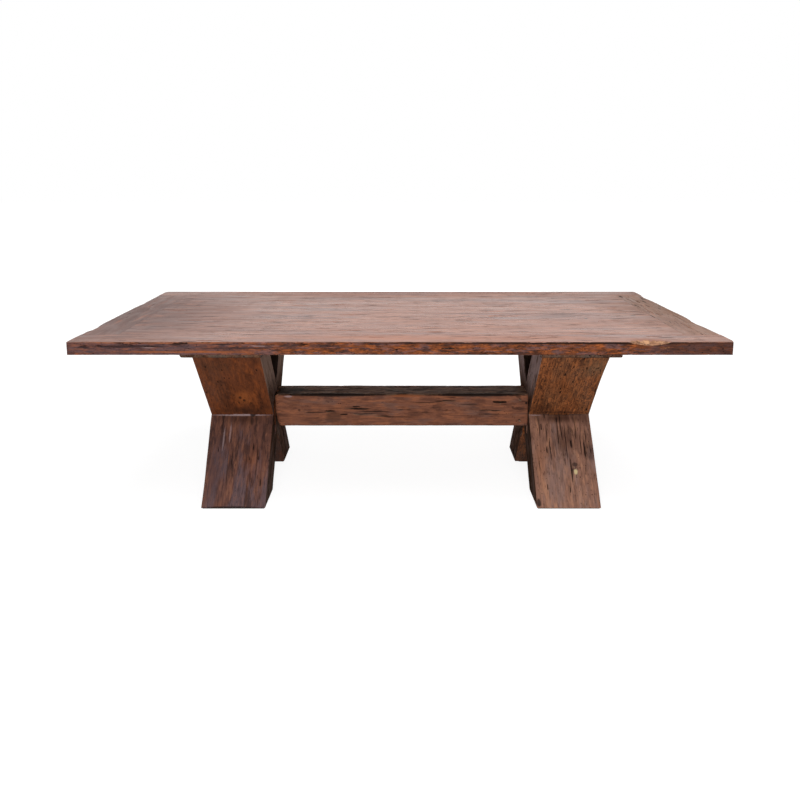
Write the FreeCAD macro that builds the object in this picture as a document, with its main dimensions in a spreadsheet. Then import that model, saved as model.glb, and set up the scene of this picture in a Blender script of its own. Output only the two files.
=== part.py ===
"""Trestle dining table with a planked top on two laminated X trestles and one stretcher.

Millimetres. The origin is on the floor under the middle of the table. X runs along the table,
Y from its front to its rear edge, Z up. The right half of the base is the left half turned
half a turn about Z, so both trestles and both ends of the stretcher are the same.
"""
import FreeCAD, Part
import os

import Sketcher
from FreeCAD import Placement, Rotation, Vector

SIZES = [
    ("table_length", 2458, "overall length over the natural ends, along X"),
    ("table_width", 1067, "overall width, along Y"),
    ("table_height", 766, "floor to the face of the top"),
    ("top_thickness", 50, "thickness of every board of the top"),
    ("border_width", 115, "front and rear border boards"),
    ("end_board_width", 145, "cross-grained board at each end of the top"),
    ("field_width_1", 145, "field boards, counted from the front; all six are"),
    ("field_width_2", 130, "stretched alike to fill the width between the borders"),
    ("field_width_3", 130, "third field board"),
    ("field_width_4", 156, "fourth field board"),
    ("field_width_5", 157, "fifth field board"),
    ("field_width_6", 119, "sixth field board"),
    ("board_ease", 1.5, "bevel along the upper arrises of every board"),
    ("tongue_thickness", 16, "tongues along and across the top"),
    ("tongue_depth", 12, "reach of the tongues between boards"),
    ("end_tongue_depth", 30, "reach of the field boards into the end boards"),
    ("end_tongue_inset", 20, "end tongue stops short of the board's edges"),
    ("tongue_stop", 40, "border joint stops short of the table's ends"),
    ("groove_gap", 0.3, "room round a tongue in its groove"),
    ("groove_relief", 1, "groove deeper than its tongue"),
    ("left_hollow_1_place", -316, "worn hollows of the natural left edge, along Y"),
    ("left_hollow_1_width", 170, "chord of the hollow"),
    ("left_hollow_1_depth", 14, "depth of the hollow"),
    ("left_hollow_2_place", 181, "second hollow on the left"),
    ("left_hollow_2_width", 240, "its chord"),
    ("left_hollow_2_depth", 10, "its depth"),
    ("right_hollow_1_place", -235, "worn hollows of the natural right edge, along Y"),
    ("right_hollow_1_width", 190, "chord of the hollow"),
    ("right_hollow_1_depth", 11, "depth of the hollow"),
    ("right_hollow_2_place", 306, "second hollow on the right"),
    ("right_hollow_2_width", 200, "its chord"),
    ("right_hollow_2_depth", 9, "its depth"),
    ("hollow_blend", 60, "rounding where a hollow runs out into the edge"),
    ("wane_place", 914, "worn hollow in the front arris, along X"),
    ("wane_width", 160, "length of that hollow"),
    ("wane_depth", 9, "its depth, square to the arris"),
    ("cleat_width", 325, "batten on top of each trestle, along X"),
    ("cleat_thickness", 70, "batten, floor side to top side"),
    ("cleat_rounding", 12, "lower outer edge of the batten"),
    ("stave_width", 89, "one of the three timbers glued into a leg, along X"),
    ("leg_thickness", 140, "leg, square to its length"),
    ("foot_spread", 634, "front toe to rear toe of one trestle, and its batten's length"),
    ("leg_ease", 3, "bevel along the outer arrises of a leg"),
    ("head_tenon_length", 45, "middle timber of a leg, up into the batten"),
    ("head_tenon_shoulder", 35, "in front of and behind that tenon"),
    ("end_overhang", 399, "top past the outer faces of the legs"),
    ("stretcher_height", 146, "beam, along Z"),
    ("stretcher_thickness", 134, "beam, along Y"),
    ("stretcher_lift", 12, "middle of the beam above the middle of the crossing"),
    ("stretcher_worn_edge", 14, "rounding of the beam's upper arrises"),
    ("stretcher_low_edge", 5, "rounding of its lower arrises"),
    ("tenon_thickness", 24, "each of the twin stub tenons, along Y"),
    ("tenon_spacing", 100, "between the middles of the twin tenons"),
    ("tenon_length", 45, "reach into the leg"),
    ("tenon_low_shoulder", 12, "beam's underside to the tenon"),
    ("tenon_high_shoulder", 30, "tenon to the beam's upper face"),
    ("mortise_gap", 0.5, "room round a tenon in its mortise"),
    ("mortise_drop", 42, "mortise runs on below the beam"),
    ("bolt_radius", 5, "stretcher bolts"),
    ("bolt_spacing", 96, "between the two bolts at each end"),
    ("bolt_tip", 18, "bolt past the middle of its barrel nut"),
    ("bolt_head_radius", 9.2, "hexagon head, middle to corner"),
    ("bolt_head_height", 6.5, "hexagon head"),
    ("washer_radius", 13, "washer under the head"),
    ("washer_thickness", 2.5, "washer"),
    ("bolt_pocket_radius", 16, "recess for the head in the leg's outer face"),
    ("bolt_pocket_depth", 28, "depth of that recess"),
    ("bore_gap", 0.5, "bores larger than the bolts in them"),
    ("nut_radius", 7, "barrel nuts"),
    ("nut_length", 30, "barrel nuts"),
    ("nut_setback", 35, "barrel nuts from the beam's shoulder"),
    ("nut_gap", 0.2, "barrel nut in its hole"),
    ("thread_gap", 0.2, "bolt in the barrel nut"),
    ("screw_radius", 4, "lag screws"),
    ("screw_gap", 0.1, "pilot holes larger than the screws"),
    ("screw_head_radius", 8, "lag screw heads"),
    ("screw_head_height", 5, "lag screw heads"),
    ("screw_clearance", 1.5, "plain holes in the batten larger than the screws"),
    ("screw_bite", 34, "lag screw in the top"),
    ("screw_inset", 44, "inner row of screws from the batten's inner edge"),
    ("pad_thickness", 4, "felt pads under the feet"),
    ("pad_inset", 6, "pads stand in from the foot's outline"),
]

WORKED = [
    ("top_underside", "Dims.table_height - Dims.top_thickness"),
    ("cleat_underside", "top_underside - Dims.cleat_thickness"),
    ("leg_width", "3 * Dims.stave_width"),
    ("leg_height", "cleat_underside - Dims.pad_thickness"),
    ("leg_lean", "acos(Dims.leg_thickness / sqrt(Dims.foot_spread ^ 2 + leg_height ^ 2))"
                 " - atan(leg_height / Dims.foot_spread)"),
    ("leg_cut", "Dims.leg_thickness / cos(leg_lean)"),
    ("crossing_height", "Dims.pad_thickness + leg_height / 2"),
    ("crossing_reach", "leg_cut / 2 / tan(leg_lean)"),
    ("field_length", "Dims.table_length - 2 * Dims.end_board_width"),
    ("inner_width", "Dims.table_width - 2 * Dims.border_width"),
    ("field_fit", "inner_width / (Dims.field_width_1 + Dims.field_width_2 + Dims.field_width_3"
                  " + Dims.field_width_4 + Dims.field_width_5 + Dims.field_width_6)"),
    ("half_tongue", "Dims.tongue_thickness / 2"),
    ("half_groove", "half_tongue + Dims.groove_gap"),
    ("groove_depth", "Dims.tongue_depth + Dims.groove_relief"),
    ("mid_board", "Dims.top_thickness / 2"),
    ("stretcher_length", "Dims.table_length - 2 * Dims.end_overhang - 2 * leg_width"),
    ("stretcher_centre", "crossing_height + Dims.stretcher_lift"),
    ("tenon_low", "stretcher_centre - Dims.stretcher_height / 2 + Dims.tenon_low_shoulder"),
    ("tenon_high", "stretcher_centre + Dims.stretcher_height / 2 - Dims.tenon_high_shoulder"),
    ("mortise_low", "stretcher_centre - Dims.stretcher_height / 2 - Dims.mortise_drop"),
    ("inner_face", "stretcher_length / 2"),
    ("cleat_overhang", "Dims.cleat_width - leg_width"),
    ("outer_screw_row", "inner_face + leg_width + cleat_overhang / 2"),
    ("inner_screw_row", "inner_face + Dims.screw_inset"),
    ("bolt_length", "leg_width - Dims.bolt_pocket_depth - Dims.washer_thickness"
                    " + Dims.nut_setback + Dims.bolt_tip"),
]

FIELD_COUNT = 6
FIELD_WIDTHS = [f"(Dims.field_width_{n} * Worked.field_fit)" for n in range(1, FIELD_COUNT + 1)]
FULL_CUT = 5000
OVERCUT = 1
SIDES = (("left", -1), ("right", 1))

doc = FreeCAD.newDocument("TrestleTable")
sub_parts = []


# ---------------------------------------------------------------- sheets and small helpers

def fill_sheet(name, rows):
    """A sheet whose column B holds the values and C what they are."""
    sheet = doc.addObject("Spreadsheet::Sheet", name)
    for row, (alias, value, *note) in enumerate(rows, start=1):
        sheet.set(f"A{row}", alias)
        sheet.set(f"B{row}", f"={value}" if isinstance(value, str) else str(value))
        sheet.setAlias(f"B{row}", alias)
        if note:
            sheet.set(f"C{row}", note[0])
    return sheet


dims = fill_sheet("Dims", SIZES)
doc.recompute()
fill_sheet("Worked", WORKED)
doc.recompute()


def value_of(expression):
    result = dims.evalExpression(expression)
    return float(getattr(result, "Value", result))


def arc_radius(chord, depth):
    """Radius of the arc with this chord and depth."""
    return f"(({chord} ^ 2 / 4 + {depth} ^ 2) / 2 / {depth})"


def field_front(index):
    """Where field board number index starts, from the middle of the table."""
    before = "".join(f" + {width}" for width in FIELD_WIDTHS[:index])
    return f"(-Worked.inner_width / 2{before})"


def field_middle(index):
    return f"({field_front(index)} + {FIELD_WIDTHS[index]} / 2)"


def place(piece, x="0", y="0", z="0", turn=0, axis=Vector(0, 0, 1)):
    """Bind a piece's place to the sheets; turn is in degrees about axis."""
    piece.Placement = Placement(Vector(), Rotation(axis, turn))
    for letter, expression in zip("xyz", (x, y, z)):
        piece.setExpression(f".Placement.Base.{letter}", expression)


def new_body(label):
    body = doc.addObject("PartDesign::Body", label)
    body.Label = label
    sub_parts.append(body)
    return body


def group(label, pieces):
    """Identical fasteners as one node of separate solids."""
    compound = doc.addObject("Part::Compound", label)
    compound.Label = label
    compound.Links = pieces
    sub_parts.append(compound)


# ---------------------------------------------------------------- sketches and features

def own_plane(body, role):
    plane = next(item for item in body.Origin.OriginFeatures if item.Role == role)
    return (plane, [""])


def sketch_on(body, role, offset="0"):
    """Sketch on one of the body's own planes: YZ looks along X, XZ along Y, XY along Z."""
    sketch = body.newObject("Sketcher::SketchObject", "Sketch")
    sketch.AttachmentSupport = own_plane(body, role)
    sketch.MapMode = "FlatFace"
    sketch.setExpression("AttachmentOffset.Base.z", offset)
    return sketch


def fix(sketch, kind, geometry, point, expression):
    """Tie a point's distance from the sketch's origin to an expression."""
    number = sketch.addConstraint(
        Sketcher.Constraint(kind, -1, 1, geometry, point, value_of(expression)))
    sketch.setExpression(f"Constraints[{number}]", expression)


def polygon(sketch, corners):
    """Closed outline through corners, each a pair of expressions."""
    points = [Vector(value_of(across), value_of(up), 0) for across, up in corners]
    first = sketch.GeometryCount
    count = len(points)
    for index, point in enumerate(points):
        sketch.addGeometry(Part.LineSegment(point, points[(index + 1) % count]), False)
    for index in range(count):
        sketch.addConstraint(Sketcher.Constraint(
            "Coincident", first + index, 2, first + (index + 1) % count, 1))
    for index, (across, up) in enumerate(corners):
        fix(sketch, "DistanceX", first + index, 1, across)
        fix(sketch, "DistanceY", first + index, 1, up)


def rectangle(sketch, low, high):
    polygon(sketch, [low, (high[0], low[1]), high, (low[0], high[1])])


def circle(sketch, across, up, radius):
    centre = Vector(value_of(across), value_of(up), 0)
    index = sketch.addGeometry(
        Part.Circle(centre, Vector(0, 0, 1), value_of(radius)), False)
    fix(sketch, "DistanceX", index, 3, across)
    fix(sketch, "DistanceY", index, 3, up)
    number = sketch.addConstraint(Sketcher.Constraint("Radius", index, value_of(radius)))
    sketch.setExpression(f"Constraints[{number}]", radius)


def extrude(body, kind, sketch, length, symmetric=False, backwards=False):
    feature = body.newObject(f"PartDesign::{kind}", kind)
    feature.Profile = sketch
    feature.SideType = "Symmetric" if symmetric else "One side"
    feature.Reversed = backwards
    feature.setExpression("Length", str(length))
    sketch.Visibility = False
    return feature


def pad(body, sketch, length, **options):
    return extrude(body, "Pad", sketch, length, **options)


def pocket(body, sketch, length, **options):
    """Cut against the sketch's normal, or along it when backwards."""
    return extrude(body, "Pocket", sketch, length, **options)


def mirror_ends(body, features):
    """Repeat features at the other end, across the body's YZ plane."""
    mirrored = body.newObject("PartDesign::Mirrored", "Mirrored")
    mirrored.Originals = features
    mirrored.MirrorPlane = own_plane(body, "YZ_Plane")
    body.Tip = mirrored


def dress_edges(body, kind, size_property, size, wanted):
    """Fillet or Chamfer the straight edges of the body's tip that wanted picks out."""
    doc.recompute()
    base = body.Tip
    names = [f"Edge{number}" for number, edge in enumerate(base.Shape.Edges, start=1)
             if len(edge.Vertexes) == 2 and wanted(*[vertex.Point for vertex in edge.Vertexes])]
    feature = body.newObject(f"PartDesign::{kind}", kind)
    feature.Base = (base, names)
    feature.setExpression(size_property, size)


# ---------------------------------------------------------------- the top

def board_outline(width, rear_tongue=True, front_groove=True):
    """Cross-section of a board, from its front edge at 0 to its rear edge at width."""
    thick, ease = "Dims.top_thickness", "Dims.board_ease"
    corners = [("0", "0"), (width, "0")]
    if rear_tongue:
        reach = f"{width} + Dims.tongue_depth"
        low, high = (f"Worked.mid_board {sign} Worked.half_tongue" for sign in "-+")
        corners += [(width, low), (reach, low), (reach, high), (width, high)]
    corners += [(width, f"{thick} - {ease}"), (f"{width} - {ease}", thick),
                (ease, thick), ("0", f"{thick} - {ease}")]
    if front_groove:
        low, high = (f"Worked.mid_board {sign} Worked.half_groove" for sign in "-+")
        depth = "Worked.groove_depth"
        corners += [("0", high), (depth, high), (depth, low), ("0", low)]
    return corners


def screw_row(index):
    """How far from the middle of the table a field board is screwed down, if it is.

    The first and last boards lie beyond the battens. The two in the middle are screwed down
    between the legs and their neighbours through the overhang outside them.
    """
    if index in (0, FIELD_COUNT - 1):
        return None
    if index in (1, FIELD_COUNT - 2):
        return "Worked.outer_screw_row"
    return "Worked.inner_screw_row"


def field_board(index):
    """Lengthways board with a tongue on its rear edge, a groove in front and end tongues."""
    width = FIELD_WIDTHS[index]
    body = new_body(f"field_board_{index + 1}")
    section = sketch_on(body, "YZ_Plane")
    polygon(section, board_outline(width))
    pad(body, section, "Worked.field_length + 2 * Dims.end_tongue_depth", symmetric=True)

    shoulder = sketch_on(body, "YZ_Plane", "Worked.field_length / 2")
    rectangle(shoulder, (f"-{OVERCUT}", f"-{OVERCUT}"),
              (f"{width} + Dims.tongue_depth + {OVERCUT}", f"Dims.top_thickness + {OVERCUT}"))
    rectangle(shoulder, ("Dims.end_tongue_inset", "Worked.mid_board - Worked.half_tongue"),
              (f"{width} - Dims.end_tongue_inset", "Worked.mid_board + Worked.half_tongue"))
    features = [pocket(body, shoulder, f"Dims.end_tongue_depth + {OVERCUT}", backwards=True)]

    if screw_row(index):
        pilot = sketch_on(body, "XY_Plane")
        circle(pilot, screw_row(index), f"{width} / 2", "Dims.screw_radius + Dims.screw_gap")
        features.append(pocket(body, pilot, "Dims.screw_bite", backwards=True))
    mirror_ends(body, features)
    place(body, y=field_front(index), z="Worked.top_underside")


def front_border():
    """Full-length front board: a stopped tongue behind, and a worn hollow in its front arris."""
    body = new_body("front_border_board")
    section = sketch_on(body, "YZ_Plane")
    polygon(section, board_outline("Dims.border_width", rear_tongue=False, front_groove=False))
    pad(body, section, "Dims.table_length", symmetric=True)

    half_run = "(Dims.table_length / 2 - Dims.tongue_stop)"
    tongue = sketch_on(body, "XZ_Plane", "-Dims.border_width")
    rectangle(tongue, (f"-{half_run}", "Worked.mid_board - Worked.half_tongue"),
              (half_run, "Worked.mid_board + Worked.half_tongue"))
    pad(body, tongue, "Dims.tongue_depth", backwards=True)

    radius = arc_radius("Dims.wane_width", "Dims.wane_depth")
    axis_out = f"({radius} - Dims.wane_depth)"
    half_height = "(2 * Dims.top_thickness)"
    wane = body.newObject("PartDesign::SubtractiveCylinder", "Wane")
    wane.setExpression("Radius", radius)
    wane.setExpression("Height", f"2 * {half_height}")
    wane.AttachmentSupport = own_plane(body, "XY_Plane")
    wane.MapMode = "FlatFace"
    wane.AttachmentOffset = Placement(Vector(), Rotation(Vector(1, 0, 0), -45))
    wane.setExpression("AttachmentOffset.Base.x", "Dims.wane_place")
    wane.setExpression("AttachmentOffset.Base.y",
                       f"-({axis_out} + {half_height}) / sqrt(2)")
    wane.setExpression("AttachmentOffset.Base.z",
                       f"Dims.top_thickness + ({axis_out} - {half_height}) / sqrt(2)")
    place(body, y="-Dims.table_width / 2", z="Worked.top_underside")


def rear_border():
    """Full-length rear board with a stopped groove in its front edge."""
    body = new_body("rear_border_board")
    section = sketch_on(body, "YZ_Plane")
    polygon(section, board_outline("Dims.border_width", rear_tongue=False, front_groove=False))
    pad(body, section, "Dims.table_length", symmetric=True)

    half_run = "(Dims.table_length / 2 - Dims.tongue_stop + Dims.groove_relief)"
    groove = sketch_on(body, "XZ_Plane")
    rectangle(groove, (f"-{half_run}", "Worked.mid_board - Worked.half_groove"),
              (half_run, "Worked.mid_board + Worked.half_groove"))
    pocket(body, groove, "Worked.groove_depth")
    place(body, y="Dims.table_width / 2 - Dims.border_width", z="Worked.top_underside")


def end_board(name, side):
    """Cross-grained end board between the borders, with a hollowed natural outer edge."""
    sign = "" if side > 0 else "-"
    body = new_body(f"{name}_end_board")
    thick, ease, width = "Dims.top_thickness", "Dims.board_ease", "Dims.end_board_width"
    low, high = (f"Worked.mid_board {mark} Worked.half_groove" for mark in "-+")
    depth = "(Dims.end_tongue_depth + Dims.groove_relief)"
    outline = [("0", "0"), (width, "0"), (width, thick), (ease, thick),
               ("0", f"({thick} - {ease})"), ("0", high), (depth, high), (depth, low),
               ("0", low)]
    section = sketch_on(body, "XZ_Plane")
    polygon(section, [(f"{sign}{across}", up) for across, up in outline])
    pad(body, section, "Worked.inner_width", symmetric=True)

    stop = "(Dims.end_board_width - Dims.tongue_stop)"
    tongue = sketch_on(body, "XZ_Plane", "-Worked.inner_width / 2")
    rectangle(tongue, (f"{sign}{depth}", "Worked.mid_board - Worked.half_tongue"),
              (f"{sign}{stop}", "Worked.mid_board + Worked.half_tongue"))
    pad(body, tongue, "Dims.tongue_depth", backwards=True)
    groove = sketch_on(body, "XZ_Plane", "Worked.inner_width / 2")
    rectangle(groove, (f"{sign}(-{OVERCUT})", low),
              (f"{sign}({stop} + Dims.groove_relief)", high))
    pocket(body, groove, "Worked.groove_depth")

    for number in (1, 2):
        hollow = f"Dims.{name}_hollow_{number}"
        radius = arc_radius(f"({hollow}_width * Worked.field_fit)", f"{hollow}_depth")
        scoop = sketch_on(body, "XY_Plane")
        circle(scoop, f"{sign}(Dims.end_board_width - {hollow}_depth + {radius})",
               f"{hollow}_place * Worked.field_fit", radius)
        pocket(body, scoop, FULL_CUT, symmetric=True)
    outer = value_of(width)
    corner = value_of("Worked.inner_width") / 2
    dress_edges(body, "Fillet", "Radius", "Dims.hollow_blend * Worked.field_fit",
                lambda start, end: abs(start.z - end.z) > 1 and abs(start.y) < corner - 1
                and abs(abs(start.x) - outer) < 0.01)
    deepest = max(value_of(f"Dims.{name}_hollow_{number}_depth") for number in (1, 2))
    dress_edges(body, "Chamfer", "Size", ease,
                lambda start, end: min(start.z, end.z) > value_of(thick) - 0.01
                and min(abs(start.x), abs(end.x)) > outer - deepest - 0.01)
    place(body, x=f"{side} * Worked.field_length / 2", z="Worked.top_underside")


# ---------------------------------------------------------------- the trestles

def head_tenon_ends(rise, gap="0"):
    """Outer and inner end of the tenon on a leg's head, along Y, with a gap round it."""
    outer = f"{rise} * (Dims.foot_spread / 2 - Dims.head_tenon_shoulder + {gap})"
    inner = (f"{rise} * (Dims.foot_spread / 2 - Worked.leg_cut + Dims.head_tenon_shoulder"
             f" - {gap})")
    return outer, inner


def leg_corners(rise, part, tenoned):
    """Outline of a timber in the YZ plane; rise is the side, +1 or -1, its top leans to.

    A whole timber runs from foot to head. Where the other leg runs through, what is left of
    this one is a foot piece and a head piece, each cut off along the edge of the other leg.
    """
    floor, head = "Dims.pad_thickness", "Worked.cleat_underside"
    toe = f"{rise} * Dims.foot_spread / 2"
    heel = f"{rise} * (Dims.foot_spread / 2 - Worked.leg_cut)"
    throat = f"{rise} * Worked.leg_cut / 2"
    crossing = "Worked.crossing_height"
    foot_end = [(f"-1 * {toe}", floor), (f"-1 * {heel}", floor)]
    head_end = [(toe, head), (heel, head)]
    if tenoned:
        outer, inner = head_tenon_ends(rise)
        tip = f"{head} + Dims.head_tenon_length"
        head_end[1:1] = [(outer, head), (outer, tip), (inner, tip), (inner, head)]
    if part == "whole":
        return foot_end + head_end
    if part == "head":
        return [("0", f"{crossing} + Worked.crossing_reach"), (throat, crossing)] + head_end
    return [("0", f"{crossing} - Worked.crossing_reach"), (f"-1 * {throat}", crossing)] + foot_end


def is_long_arris(rise, face_x):
    """Picks the edges along a leg's length that lie in the plane x = face_x."""
    def wanted(start, end):
        on_face = abs(start.x - face_x) < 0.01 and abs(end.x - face_x) < 0.01
        return on_face and (end.y - start.y) * (end.z - start.z) * rise > 1
    return wanted


def leg_timber(name, side, leg, rise, layer, part):
    """One timber of a laminated leg; layer 0 faces the stretcher and layer 2 faces out."""
    depth_names = ("inner", "middle", "outer")
    suffix = "" if part == "whole" else f"_{part}"
    body = new_body(f"{name}_leg_{leg}_{depth_names[layer]}{suffix}")
    outline = sketch_on(body, "YZ_Plane", f"{layer} * Dims.stave_width")
    polygon(outline, leg_corners(rise, part, tenoned=layer == 1 and part != "foot"))
    pad(body, outline, "Dims.stave_width")
    if layer != 1:
        face_x = layer / 2 * value_of("Worked.leg_width")
        dress_edges(body, "Chamfer", "Size", "Dims.leg_ease", is_long_arris(rise, face_x))

    if layer == 0:
        mortise = sketch_on(body, "YZ_Plane")
        for sign in (-1, 1):
            near, far = (f"{sign} * (Dims.tenon_spacing / 2 {mark} (Dims.tenon_thickness / 2"
                         " + Dims.mortise_gap))" for mark in "-+")
            rectangle(mortise, (near, "Worked.mortise_low"),
                      (far, "Worked.tenon_high + Dims.mortise_gap"))
        pocket(body, mortise, "Dims.tenon_length + Dims.groove_relief", backwards=True)
    if part == "whole":
        bore_crossing(body, layer)
    place(body, x=f"{side} * Worked.inner_face", turn=0 if side > 0 else 180)


def bore_crossing(body, layer):
    """Two bolt holes through the middle of the X, with a recess for each head outside."""
    bores = sketch_on(body, "YZ_Plane")
    pockets = sketch_on(body, "YZ_Plane", "Worked.leg_width")
    for sign in "-+":
        height = f"Worked.stretcher_centre {sign} Dims.bolt_spacing / 2"
        circle(bores, "0", height, "Dims.bolt_radius + Dims.bore_gap")
        circle(pockets, "0", height, "Dims.bolt_pocket_radius")
    pocket(body, bores, FULL_CUT, symmetric=True)
    if layer == 2:
        pocket(body, pockets, "Dims.bolt_pocket_depth")


def trestle(name, side):
    """Leg A leans to +Y in the trestle's own frame and runs through inside and outside.

    Leg B leans to -Y and runs through in the middle layer.
    """
    for layer in (0, 2):
        leg_timber(name, side, "a", 1, layer, "whole")
        for part in ("head", "foot"):
            leg_timber(name, side, "b", -1, layer, part)
    leg_timber(name, side, "b", -1, 1, "whole")
    for part in ("head", "foot"):
        leg_timber(name, side, "a", 1, 1, part)


def cleat(name, side):
    """Thick batten between a trestle and the top, flush inside and overhanging outside."""
    sign = "" if side > 0 else "-"
    body = new_body(f"{name}_cleat")
    section = sketch_on(body, "XZ_Plane")
    rectangle(section, ("0", "0"), (f"{sign}Dims.cleat_width", "Dims.cleat_thickness"))
    pad(body, section, "Dims.foot_spread", symmetric=True)
    outer = side * value_of("Dims.cleat_width")
    dress_edges(body, "Fillet", "Radius", "Dims.cleat_rounding",
                lambda start, end: max(abs(point.x - outer) + abs(point.z)
                                       for point in (start, end)) < 0.01)

    mortises = sketch_on(body, "XY_Plane")
    near = f"{sign}(Dims.stave_width - Dims.mortise_gap)"
    far = f"{sign}(2 * Dims.stave_width + Dims.mortise_gap)"
    for rise in (-1, 1):
        outer_end, inner_end = head_tenon_ends(rise, "Dims.mortise_gap")
        rectangle(mortises, (near, inner_end), (far, outer_end))
    pocket(body, mortises, "Dims.head_tenon_length + Dims.groove_relief", backwards=True)

    screw_holes = sketch_on(body, "XY_Plane")
    for index in range(FIELD_COUNT):
        if screw_row(index):
            circle(screw_holes, f"{sign}({screw_row(index)} - Worked.inner_face)",
                   field_middle(index), "Dims.screw_radius + Dims.screw_clearance")
    pocket(body, screw_holes, FULL_CUT, symmetric=True)
    place(body, x=f"{side} * Worked.inner_face", z="Worked.cleat_underside")


# ---------------------------------------------------------------- the stretcher

def stretcher():
    """Beam between the trestles with twin stub tenons, bolt bores and barrel-nut holes."""
    body = new_body("stretcher")
    section = sketch_on(body, "YZ_Plane")
    rectangle(section, ("-Dims.stretcher_thickness / 2", "-Dims.stretcher_height / 2"),
              ("Dims.stretcher_thickness / 2", "Dims.stretcher_height / 2"))
    pad(body, section, "Worked.stretcher_length", symmetric=True)
    dress_edges(body, "Fillet", "Radius", "Dims.stretcher_worn_edge",
                lambda start, end: abs(start.x - end.x) > 1 and start.z > 0)
    dress_edges(body, "Fillet", "Radius", "Dims.stretcher_low_edge",
                lambda start, end: abs(start.x - end.x) > 1 and start.z < 0
                and abs(start.z + value_of("Dims.stretcher_height") / 2) < 0.01)

    half_length = "Worked.stretcher_length / 2"
    tenons = sketch_on(body, "YZ_Plane", half_length)
    for sign in (-1, 1):
        near, far = (f"{sign} * (Dims.tenon_spacing / 2 {mark} Dims.tenon_thickness / 2)"
                     for mark in "-+")
        rectangle(tenons, (near, "Worked.tenon_low - Worked.stretcher_centre"),
                  (far, "Worked.tenon_high - Worked.stretcher_centre"))
    tenon_pads = pad(body, tenons, "Dims.tenon_length")
    bores = sketch_on(body, "YZ_Plane", half_length)
    for sign in "-+":
        circle(bores, "0", f"{sign}Dims.bolt_spacing / 2", "Dims.bolt_radius + Dims.bore_gap")
    bore_pockets = pocket(body, bores, "Dims.nut_setback + Dims.bolt_tip + Dims.bore_gap")
    mirror_ends(body, [tenon_pads, bore_pockets])

    for side in (1, -1):
        holes = sketch_on(body, "XZ_Plane", f"{side} * Dims.stretcher_thickness / 2")
        for sign in "-+":
            circle(holes, f"{side} * ({half_length} - Dims.nut_setback)",
                   f"{sign}Dims.bolt_spacing / 2", "Dims.nut_radius + Dims.nut_gap")
        pocket(body, holes, "Dims.stretcher_thickness / 2 + Dims.nut_length / 2",
               backwards=side < 0)
    place(body, z="Worked.stretcher_centre")


def rod(name, radius, length, x, y, z, axis):
    """Part cylinder that starts at a point and runs along axis, +X, -X, +Y or +Z."""
    turns = {"+X": (Vector(0, 1, 0), 90), "-X": (Vector(0, 1, 0), -90),
             "+Y": (Vector(1, 0, 0), -90), "+Z": (Vector(0, 0, 1), 0)}
    cylinder = doc.addObject("Part::Cylinder", name)
    cylinder.setExpression("Radius", radius)
    cylinder.setExpression("Height", length)
    place(cylinder, x, y, z, turn=turns[axis][1], axis=turns[axis][0])
    return cylinder


def hexagon_head(radius, height, x, y, z, turn=0, axis=Vector(0, 0, 1)):
    head = doc.addObject("Part::Prism", "Head")
    head.Polygon = 6
    head.setExpression("Circumradius", radius)
    head.setExpression("Height", height)
    place(head, x, y, z, turn=turn, axis=axis)
    return head


def cut(name, base, tool):
    result = doc.addObject("Part::Cut", name)
    result.Base = base
    result.Tool = tool
    return result


def fuse(name, pieces):
    result = doc.addObject("Part::MultiFuse", name)
    result.Shapes = pieces
    return result


def stretcher_fasteners():
    """Hexagon bolts, their washers and the barrel nuts, two at each end of the beam."""
    bolts, washers, nuts = [], [], []
    washer_face = "(Worked.inner_face + Worked.leg_width - Dims.bolt_pocket_depth)"
    head_face = f"({washer_face} + Dims.washer_thickness)"
    for _, side in SIDES:
        inward, outward = ("-X", "+X") if side > 0 else ("+X", "-X")
        for sign in "-+":
            height = f"Worked.stretcher_centre {sign} Dims.bolt_spacing / 2"
            shank = rod("Shank", "Dims.bolt_radius", "Worked.bolt_length + Dims.washer_thickness",
                        f"{side} * {head_face}", "0", height, inward)
            head = hexagon_head("Dims.bolt_head_radius", "Dims.bolt_head_height",
                                f"{side} * {head_face}", "0", height,
                                turn=side * 90, axis=Vector(0, 1, 0))
            bolts.append(fuse("Bolt", [shank, head]))

            disc = rod("Disc", "Dims.washer_radius", "Dims.washer_thickness",
                       f"{side} * {washer_face}", "0", height, outward)
            eye = rod("Eye", "Dims.bolt_radius + Dims.bore_gap", "2 * Dims.washer_thickness",
                      f"{side} * ({washer_face} - Dims.washer_thickness / 2)", "0", height,
                      outward)
            washers.append(cut("Washer", disc, eye))

            nut_x = f"{side} * (Worked.inner_face - Dims.nut_setback)"
            barrel = rod("Barrel", "Dims.nut_radius", "Dims.nut_length", nut_x,
                         "-Dims.nut_length / 2", height, "+Y")
            thread = rod("Thread", "Dims.bolt_radius + Dims.thread_gap", "4 * Dims.nut_radius",
                         f"{nut_x} - {side} * 2 * Dims.nut_radius", "0", height, outward)
            nuts.append(cut("Nut", barrel, thread))
    group("stretcher_bolts", bolts)
    group("stretcher_washers", washers)
    group("barrel_nuts", nuts)


# ---------------------------------------------------------------- screws and pads

def lag_screws():
    """Lag screws from under the battens up into the top, their heads on the surface."""
    screws = []
    for _, side in SIDES:
        for index in range(FIELD_COUNT):
            if screw_row(index):
                x, y = f"{side} * {screw_row(index)}", field_middle(index)
                shank = rod("Shank", "Dims.screw_radius",
                            "Dims.cleat_thickness + Dims.screw_bite",
                            x, y, "Worked.cleat_underside", "+Z")
                head = hexagon_head("Dims.screw_head_radius", "Dims.screw_head_height",
                                    x, y, "Worked.cleat_underside - Dims.screw_head_height")
                screws.append(fuse("LagScrew", [shank, head]))
    group("lag_screws", screws)


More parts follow.
